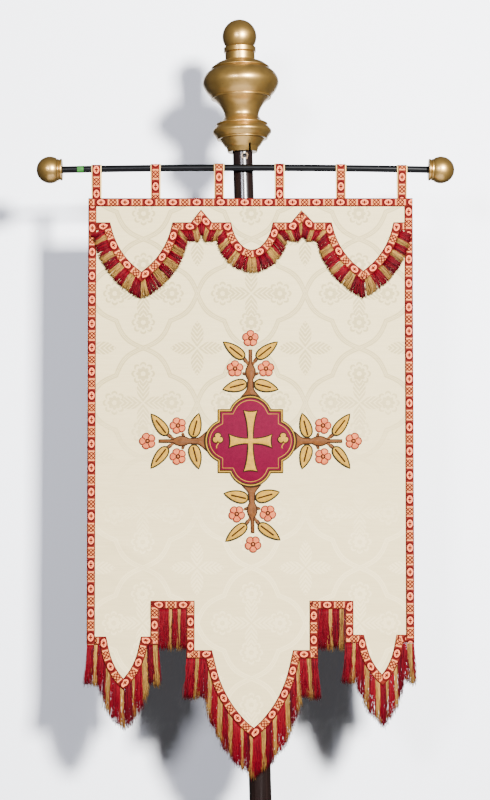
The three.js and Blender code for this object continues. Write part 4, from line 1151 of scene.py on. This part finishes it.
# %% Medallion
def medallion_outline():
    points = []
    half = (MEDALLION["half_width"], MEDALLION["half_height"])
    for k, (x_way, z_way) in enumerate(((1, 0), (0, 1), (-1, 0), (0, -1))):
        edge = half[k % 2]
        spread = math.acos((edge - MEDALLION["lobe_out"]) / MEDALLION["lobe_radius"])
        turn = k * math.pi / 2 + np.linspace(-spread, spread, 17)
        points += [(MEDALLION["lobe_out"] * x_way + MEDALLION["lobe_radius"] * math.cos(a),
                    MEDALLION["lobe_out"] * z_way + MEDALLION["lobe_radius"] * math.sin(a)) for a in turn]
        corner_x, corner_z = ((1, 1), (-1, 1), (-1, -1), (1, -1))[k]
        points.append((half[0] * corner_x, half[1] * corner_z))
    return np.array(points)


def on_medallion(across, up):
    return MEDALLION["x"] + across, MEDALLION["z"] + up


BAND_WIDTH = 4.6
outline = medallion_outline()
inner = offset_path(outline, -BAND_WIDTH, closed=True)
bm = new_motif()
sew_patch(bm, outline, on_medallion, MOTIF_BACK, "medallion", 1)
sew_patch(bm, inner, on_medallion, MOTIF_BACK + 0.5, "crimson")
couch(bm, [cord_line(offset_path(outline, -0.6, closed=True), on_medallion, MOTIF_BACK + 1.3),
           cord_line(inner, on_medallion, MOTIF_BACK + 1.6)], "rim", 2)
middle_line = offset_path(outline, -BAND_WIDTH / 2, closed=True)
couch(bm, [cord_line(middle_line, on_medallion, MOTIF_BACK + 1.1)], "band", 1)
inner_line = offset_path(outline, -2 * BAND_WIDTH, closed=True)
couch(bm, [cord_line(inner_line, on_medallion, MOTIF_BACK + 1.5)], "inner", 1)
sew_on(bm, "medallion", [crimson_ground, gold_satin, olive_cord])

# %% Cross and trefoils
CROSS = {"half_height": 58, "half_width": 41, "waist": 5, "flare": 13, "cup": 4, "bend": 0.6}
TREFOIL = {"across": 62, "up": 5, "radius": 10.5, "waist": 0.5, "tail": 19}
MEDALLION_FRONT = MOTIF_BACK + MEDALLION["thickness"] + LAYER_GAP


def cross_outline():
    points = []
    for k in range(4):
        reach = CROSS["half_height"] if k % 2 else CROSS["half_width"]
        cos, sin = round(math.cos(k * math.pi / 2)), round(math.sin(k * math.pi / 2))
        waist, flare = CROSS["waist"], CROSS["flare"]
        arm = np.concatenate([
            bend((waist, -waist), (reach * CROSS["bend"], -waist), (reach, -flare), 6),
            bend((reach, -flare), (reach - CROSS["cup"], 0), (reach, flare), 6)[1:],
            bend((reach, flare), (reach * CROSS["bend"], waist), (waist, waist), 6)[1:-1]])
        points.append(np.stack([arm[:, 0] * cos - arm[:, 1] * sin, arm[:, 0] * sin + arm[:, 1] * cos], -1))
    return np.concatenate(points)


bm = new_motif()
outline = cross_outline()
sew_patch(bm, outline, on_medallion, MEDALLION_FRONT, "gold")
couch(bm, [cord_line(outline, on_medallion, MEDALLION_FRONT + 0.6)], "cross", 1)
sew_on(bm, "medallion_cross", [gold_satin, olive_cord])
for name, way in (("trefoil_left", -1), ("trefoil_right", 1)):
    spot = lambda along, side, way=way: on_medallion(way * TREFOIL["across"] + side, TREFOIL["up"] + along)
    bm = new_motif()
    outline = petal_outline(3, TREFOIL["radius"], TREFOIL["waist"], 14)
    sew_patch(bm, outline, spot, MEDALLION_FRONT, "gold")
    curl = np.array([(-TREFOIL["tail"] * s, 2.6 * math.sin(5.5 * s)) for s in np.linspace(0.2, 1, 9)])
    couch(bm, [cord_line(outline, spot, MEDALLION_FRONT + 0.6)], "trefoil", 1)
    couch(bm, [cord_line(curl, spot, MEDALLION_FRONT + 0.5, closed=False)], "tail", 0)
    sew_on(bm, name, [gold_satin, olive_cord])

# %% [markdown]

# %% [markdown]
# ## Gilding
# The finial and the ball ends are turned wood with bronze-gold paint over a red-brown ground. Paint of this
# kind is a soft metal: brown in the shade, cream in the lights, with fine rings left by the lathe and the
# brush, and the ground rubbed bare in small patches.

# %% Gilding material
MOTTLE, BARE_SPOT, RING_LONG, RING_HIGH = 26.3158, 8.33333, 25, 1.11111
gilding, node = start_material("bronze_gold_paint_on_wood")
place = node("TexCoord", out="Object")
mottle = node("TexNoise", place, sockets={"Scale": per_metre(MOTTLE), "Detail": 5.0})
rubbed = node("TexNoise", place, sockets={"Scale": per_metre(BARE_SPOT), "Detail": 4.0})
ring_scale = (per_metre(RING_LONG), per_metre(RING_LONG), per_metre(RING_HIGH))
ring_place = node("VectorMath.MULTIPLY", place, ring_scale)
rings = node("TexNoise", ring_place, sockets={"Scale": 1.0, "Detail": 2.0})
colour = node("Mix.RGBA", out=2, sockets={0: mottle, 6: linear("#866836"), 7: linear("#b8924c")})
bare = node("MapRange", rubbed, 0.68, 0.76, 0.0, 0.55)
colour = node("Mix.RGBA", out=2, sockets={0: bare, 6: colour, 7: linear("#3a2212")})
gloss = node("MapRange", mottle, 0.3, 0.7, 0.3, 0.4)
relief = node("Bump", sockets={"Height": rings, "Strength": 0.12, "Distance": 0.0006})
paint = node("BsdfPrincipled", sockets={
    "Base Color": colour, "Metallic": 0.9, "Roughness": gloss, "Normal": relief,
    "Coat Weight": 0.5, "Coat Roughness": 0.24})
node("OutputMaterial", paint)
print("gilding nodes:", len(gilding.node_tree.nodes))

# %% [markdown]
# ## Turned pieces
# A turner works to a profile, and so does Blender's spin: a line of corners is swept once round the axis.
# The notch in the finial's base ring and the peg hole in the pole are cut out of the finished shape.


# %% Turning and cutting helpers
def turned(profile, sides, place):
    """Spins a profile of (radius, height) in mm about the upright axis and sets it in its place."""
    bm = bmesh.new()
    corners = [bm.verts.new((out * MM, 0, up * MM)) for out, up in profile]
    edges = [bm.edges.new(pair) for pair in zip(corners, corners[1:])]
    bmesh.ops.spin(bm, geom=corners + edges, cent=(0, 0, 0), axis=(0, 0, 1), angle=2 * math.pi, steps=sides,
                   use_merge=True)
    bmesh.ops.remove_doubles(bm, verts=bm.verts, dist=1e-6)
    bmesh.ops.transform(bm, matrix=place, verts=bm.verts)
    return bm


def cut_away(mesh, cutter):
    """Takes the cutter's shape out of a closed mesh."""
    whole, tool = bpy.data.objects.new("whole", mesh), bpy.data.objects.new("tool", cutter)
    for obj in (whole, tool):
        bpy.context.collection.objects.link(obj)
    cut = whole.modifiers.new("cut", "BOOLEAN")
    cut.object = tool
    cut.solver = "EXACT"
    result = bpy.data.meshes.new_from_object(whole.evaluated_get(bpy.context.evaluated_depsgraph_get()))
    for obj in (whole, tool):
        bpy.data.objects.remove(obj)
    return result


def through(rows, steps=9):
    return smooth_through(np.array([(out, up) for up, out in rows]), [steps] * (len(rows) - 1))


def bead(up, out, radius):
    angle = np.linspace(-math.pi / 2, math.pi / 2, 7)
    return np.stack([out + radius * np.cos(angle), up + radius * np.sin(angle)], -1)


def ball_profile(centre, radius, seat_up, steps=28):
    angle = np.linspace(math.asin((seat_up - centre) / radius), math.pi / 2, steps)
    line = np.stack([radius * np.cos(angle), centre + radius * np.sin(angle)], -1)
    line[-1, 0] = 0
    return line


LEAN_DEGREES = 1.57
LEAN = Matrix.Rotation(-math.radians(LEAN_DEGREES), 4, "Y")
print("the pole leans", LEAN_DEGREES, "degrees")

# %% [markdown]
# ## Finial
# From the bottom: a base ring, a lower bulge with a small step in it, a waisted throat, the main bulge, a
# shoulder, a neck with two rings, and a ball on top. Each curve is a smooth line through a few measured
# places, and the small beads cut between them catch the light.

# %% Finial
FINIAL_BASE, FINIAL_SIDES, BALL_SIDES = 1742, 72, 48
NOTCH = {"across": 13.9, "width": 4, "height": 13, "reach": 62.4}
finial_profile = np.concatenate([
    [(0, 18.3), (19.8, 18.3), (19.8, 0), (28.1, 0), (28.5, 0.5), (31.0, 9.3), (31.2, 9.8)],
    through([(11.8, 34.3), (18, 38.4), (24.5, 43.4)]),
    bead(26.4, 47.6, 1.6),
    through([(28.4, 49.4), (40, 56.7), (52.7, 47.8)]),
    bead(54.1, 48.2, 1.6),
    through([(55.6, 48.4), (62.4, 37.6), (73.1, 33), (91.6, 41.5), (104.3, 55)]),
    bead(105.7, 56.4, 1.8),
    through([(107.2, 56.9), (118, 66.4), (134.4, 73.3), (151, 67.5), (163.6, 53.2)]),
    bead(164.2, 54.6, 1.3),
    through([(165.2, 55), (173, 44.5), (179.2, 28.6)]),
    [(28.6, 191.8), (26.6, 193.6), (30.2, 194.2), (30.9, 194.9), (30.9, 202.8), (30.3, 203.5)],
    ball_profile(225, 33, 203.5),
])
finial_place = LEAN @ Matrix.Translation((0, 0, FINIAL_BASE * MM))
finial_mesh = mesh_from(turned(finial_profile, FINIAL_SIDES, finial_place), "finial_gilded")
bm = bmesh.new()
bmesh.ops.create_cube(bm, size=1)
notch = (Matrix.Translation((NOTCH["across"] * MM, -NOTCH["reach"] / 2 * MM, 0))
         @ Matrix.Diagonal((NOTCH["width"] * MM, NOTCH["reach"] * MM, 2 * NOTCH["height"] * MM, 1)))
bmesh.ops.transform(bm, matrix=finial_place @ notch, verts=bm.verts)
finial_mesh = cut_away(finial_mesh, mesh_from(bm, "notch"))
finial = make_piece("finial_gilded", finial_mesh, [gilding], ["finial"], sharp=40)
print("finial faces:", len(finial.data.polygons))

# %% Ball ends
BALL_SOCKET = 14
BALL_PROFILE = np.concatenate([
    [(0, BALL_SOCKET), (7.2, BALL_SOCKET), (7.2, 0), (19.9, 0), (20.5, 0.4), (20.7, 1.0), (20.7, 3.4),
     (19.1, 5.15), (20.7, 6.9), (20.7, 9.6), (20.2, 10.3)],
    ball_profile(23.6, 25.7, 10.3),
])
for name, way in (("ball_left", -1), ("ball_right", 1)):
    slope = way * (math.pi / 2 + 4 * BAR_DROOP / BAR_SHOWN)
    end = Matrix.Translation(((BAR_X + way * BAR_SHOWN / 2) * MM, BAR_Y * MM, (BAR_HEIGHT - BAR_DROOP) * MM))
    place = end @ Matrix.Rotation(slope, 4, "Y")
    make_piece(name + "_gilded", mesh_from(turned(BALL_PROFILE, BALL_SIDES, place), name + "_gilded"),
               [gilding], [name], sharp=40)
print("ball ends: 2")

# %% [markdown]
# ## Pole
# A tapered wooden pole, stained nearly black and lacquered. The lacquer is glossy, so it shows long streaks
# of light, broken by the grain. The empty peg hole under the finial has lost its lacquer round the rim.

# %% Lacquer material
PEG_HOLE = {"across": 3.6, "height": 1733, "radius": 4.5, "depth": 9, "rim": -19.05}
rim_of_hole = LEAN @ (Vector((PEG_HOLE["across"], PEG_HOLE["rim"], PEG_HOLE["height"])) * MM)
GRAIN_WIDE, GRAIN_LONG, CHIP = 2.63158, 111.111, 3.0303
lacquer, node = start_material("dark_lacquer_on_wood")
place = node("TexCoord", out="Object")
grain_scale = (per_metre(GRAIN_WIDE), per_metre(GRAIN_WIDE), per_metre(GRAIN_LONG))
grain_place = node("VectorMath.MULTIPLY", place, grain_scale)
grain = node("TexNoise", grain_place, sockets={"Scale": 1.0, "Detail": 4.0})
colour = node("Mix.RGBA", out=2, sockets={0: grain, 6: linear("#080504"), 7: linear("#1c1210")})
from_peg = node("VectorMath.DISTANCE", place, tuple(rim_of_hole), out="Value")
chip = node("TexNoise", place, sockets={"Scale": per_metre(CHIP), "Detail": 3.0})
from_peg = node("Math.MULTIPLY_ADD", chip, 0.008, from_peg)
chipped = node("Math.LESS_THAN", from_peg, 0.0107)
colour = node("Mix.RGBA", out=2, sockets={0: chipped, 6: colour, 7: linear("#6e5a44")})
gloss = node("MapRange", grain, 0.3, 0.7, 0.16, 0.3)
relief = node("Bump", sockets={"Height": grain, "Strength": 0.12, "Distance": 0.0008})
coat = node("BsdfPrincipled", sockets={
    "Base Color": colour, "Roughness": gloss, "Normal": relief, "Specular IOR Level": 0.35})
node("OutputMaterial", coat)
print("lacquer nodes:", len(lacquer.node_tree.nodes))

# %% Pole
POLE_LENGTH, FOOT_RADIUS, TOP_RADIUS = 1760, 22, 19
bm = bmesh.new()
bmesh.ops.create_cone(bm, cap_ends=True, segments=64, radius1=FOOT_RADIUS * MM, radius2=TOP_RADIUS * MM,
                      depth=POLE_LENGTH * MM, matrix=Matrix.Translation((0, 0, POLE_LENGTH / 2 * MM)))
bmesh.ops.transform(bm, matrix=LEAN, verts=bm.verts)
pole_mesh = mesh_from(bm, "pole_lacquered")
bm = bmesh.new()
bmesh.ops.create_cone(bm, cap_ends=True, segments=24, radius1=PEG_HOLE["radius"] * MM,
                      radius2=PEG_HOLE["radius"] * MM, depth=2 * PEG_HOLE["depth"] * MM)
hole = Matrix.Translation(Vector((PEG_HOLE["across"], -TOP_RADIUS, PEG_HOLE["height"])) * MM)
hole = hole @ Matrix.Rotation(math.radians(90), 4, "X")
bmesh.ops.transform(bm, matrix=LEAN @ hole, verts=bm.verts)
pole_mesh = cut_away(pole_mesh, mesh_from(bm, "peg_hole"))
pole = make_piece("pole_lacquered", pole_mesh, [lacquer], ["pole"], sharp=40)
print("pole faces:", len(pole.data.polygons))

# %% [markdown]
# ## Crossbar
# A thin black bar with a slight bow. A curve gives the bow exactly: a line of points with a round bevel,
# made a mesh. The paint is worn grey where the loops have rubbed, and a short band of green tape is wound
# round the left.


# %% Crossbar materials
WORN_LONG, WORN_WIDE = 16.6667, 3.33333


def bar_finish(name, dark, light, roughness):
    material, node = start_material(name)
    place = node("TexCoord", out="Object")
    worn_place = node("VectorMath.MULTIPLY", place, (per_metre(WORN_LONG), *[per_metre(WORN_WIDE)] * 2))
    worn = node("TexNoise", worn_place, sockets={"Scale": 1.0, "Detail": 5.0})
    share = node("MapRange", worn, 0.45, 0.75, 0.0, 1.0)
    colour = node("Mix.RGBA", out=2, sockets={0: share, 6: linear(dark), 7: linear(light)})
    relief = node("Bump", sockets={"Height": worn, "Strength": 0.15, "Distance": 0.0004})
    paint = node("BsdfPrincipled", sockets={
        "Base Color": colour, "Roughness": roughness, "Normal": relief, "Specular IOR Level": 0.1})
    node("OutputMaterial", paint)
    return material


black_paint = bar_finish("black_enamel_on_iron", "#040405", "#0c0d0f", 0.36)
green_tape = bar_finish("green_cloth_tape", "#235320", "#357a2f", 0.6)


def bowed_tube(from_x, to_x, radius, steps):
    x = np.linspace(from_x, to_x, steps)
    z = BAR_HEIGHT - BAR_DROOP * (x / (BAR_SHOWN / 2)) ** 2
    return cord_mesh([np.stack([BAR_X + x, np.full(steps, BAR_Y), z], -1) * MM], radius, BAR_ROUNDNESS)


# %% Crossbar and tape
TAPE = {"from": -321.1, "to": -309.0, "proud": 0.2}
BAR_ROUNDNESS = 6
bar_half = BAR_SHOWN / 2 + BALL_SOCKET - EDGE_GAP
crossbar = make_piece("crossbar_painted", bowed_tube(-bar_half, bar_half, BAR_RADIUS, 41), [black_paint],
                      ["crossbar"])
tape_mesh = bowed_tube(TAPE["from"], TAPE["to"], BAR_RADIUS + TAPE["proud"], 4)
tape = make_piece("tape_band", tape_mesh, [green_tape], [])
print("bar faces:", len(crossbar.data.polygons), "tape faces:", len(tape.data.polygons))
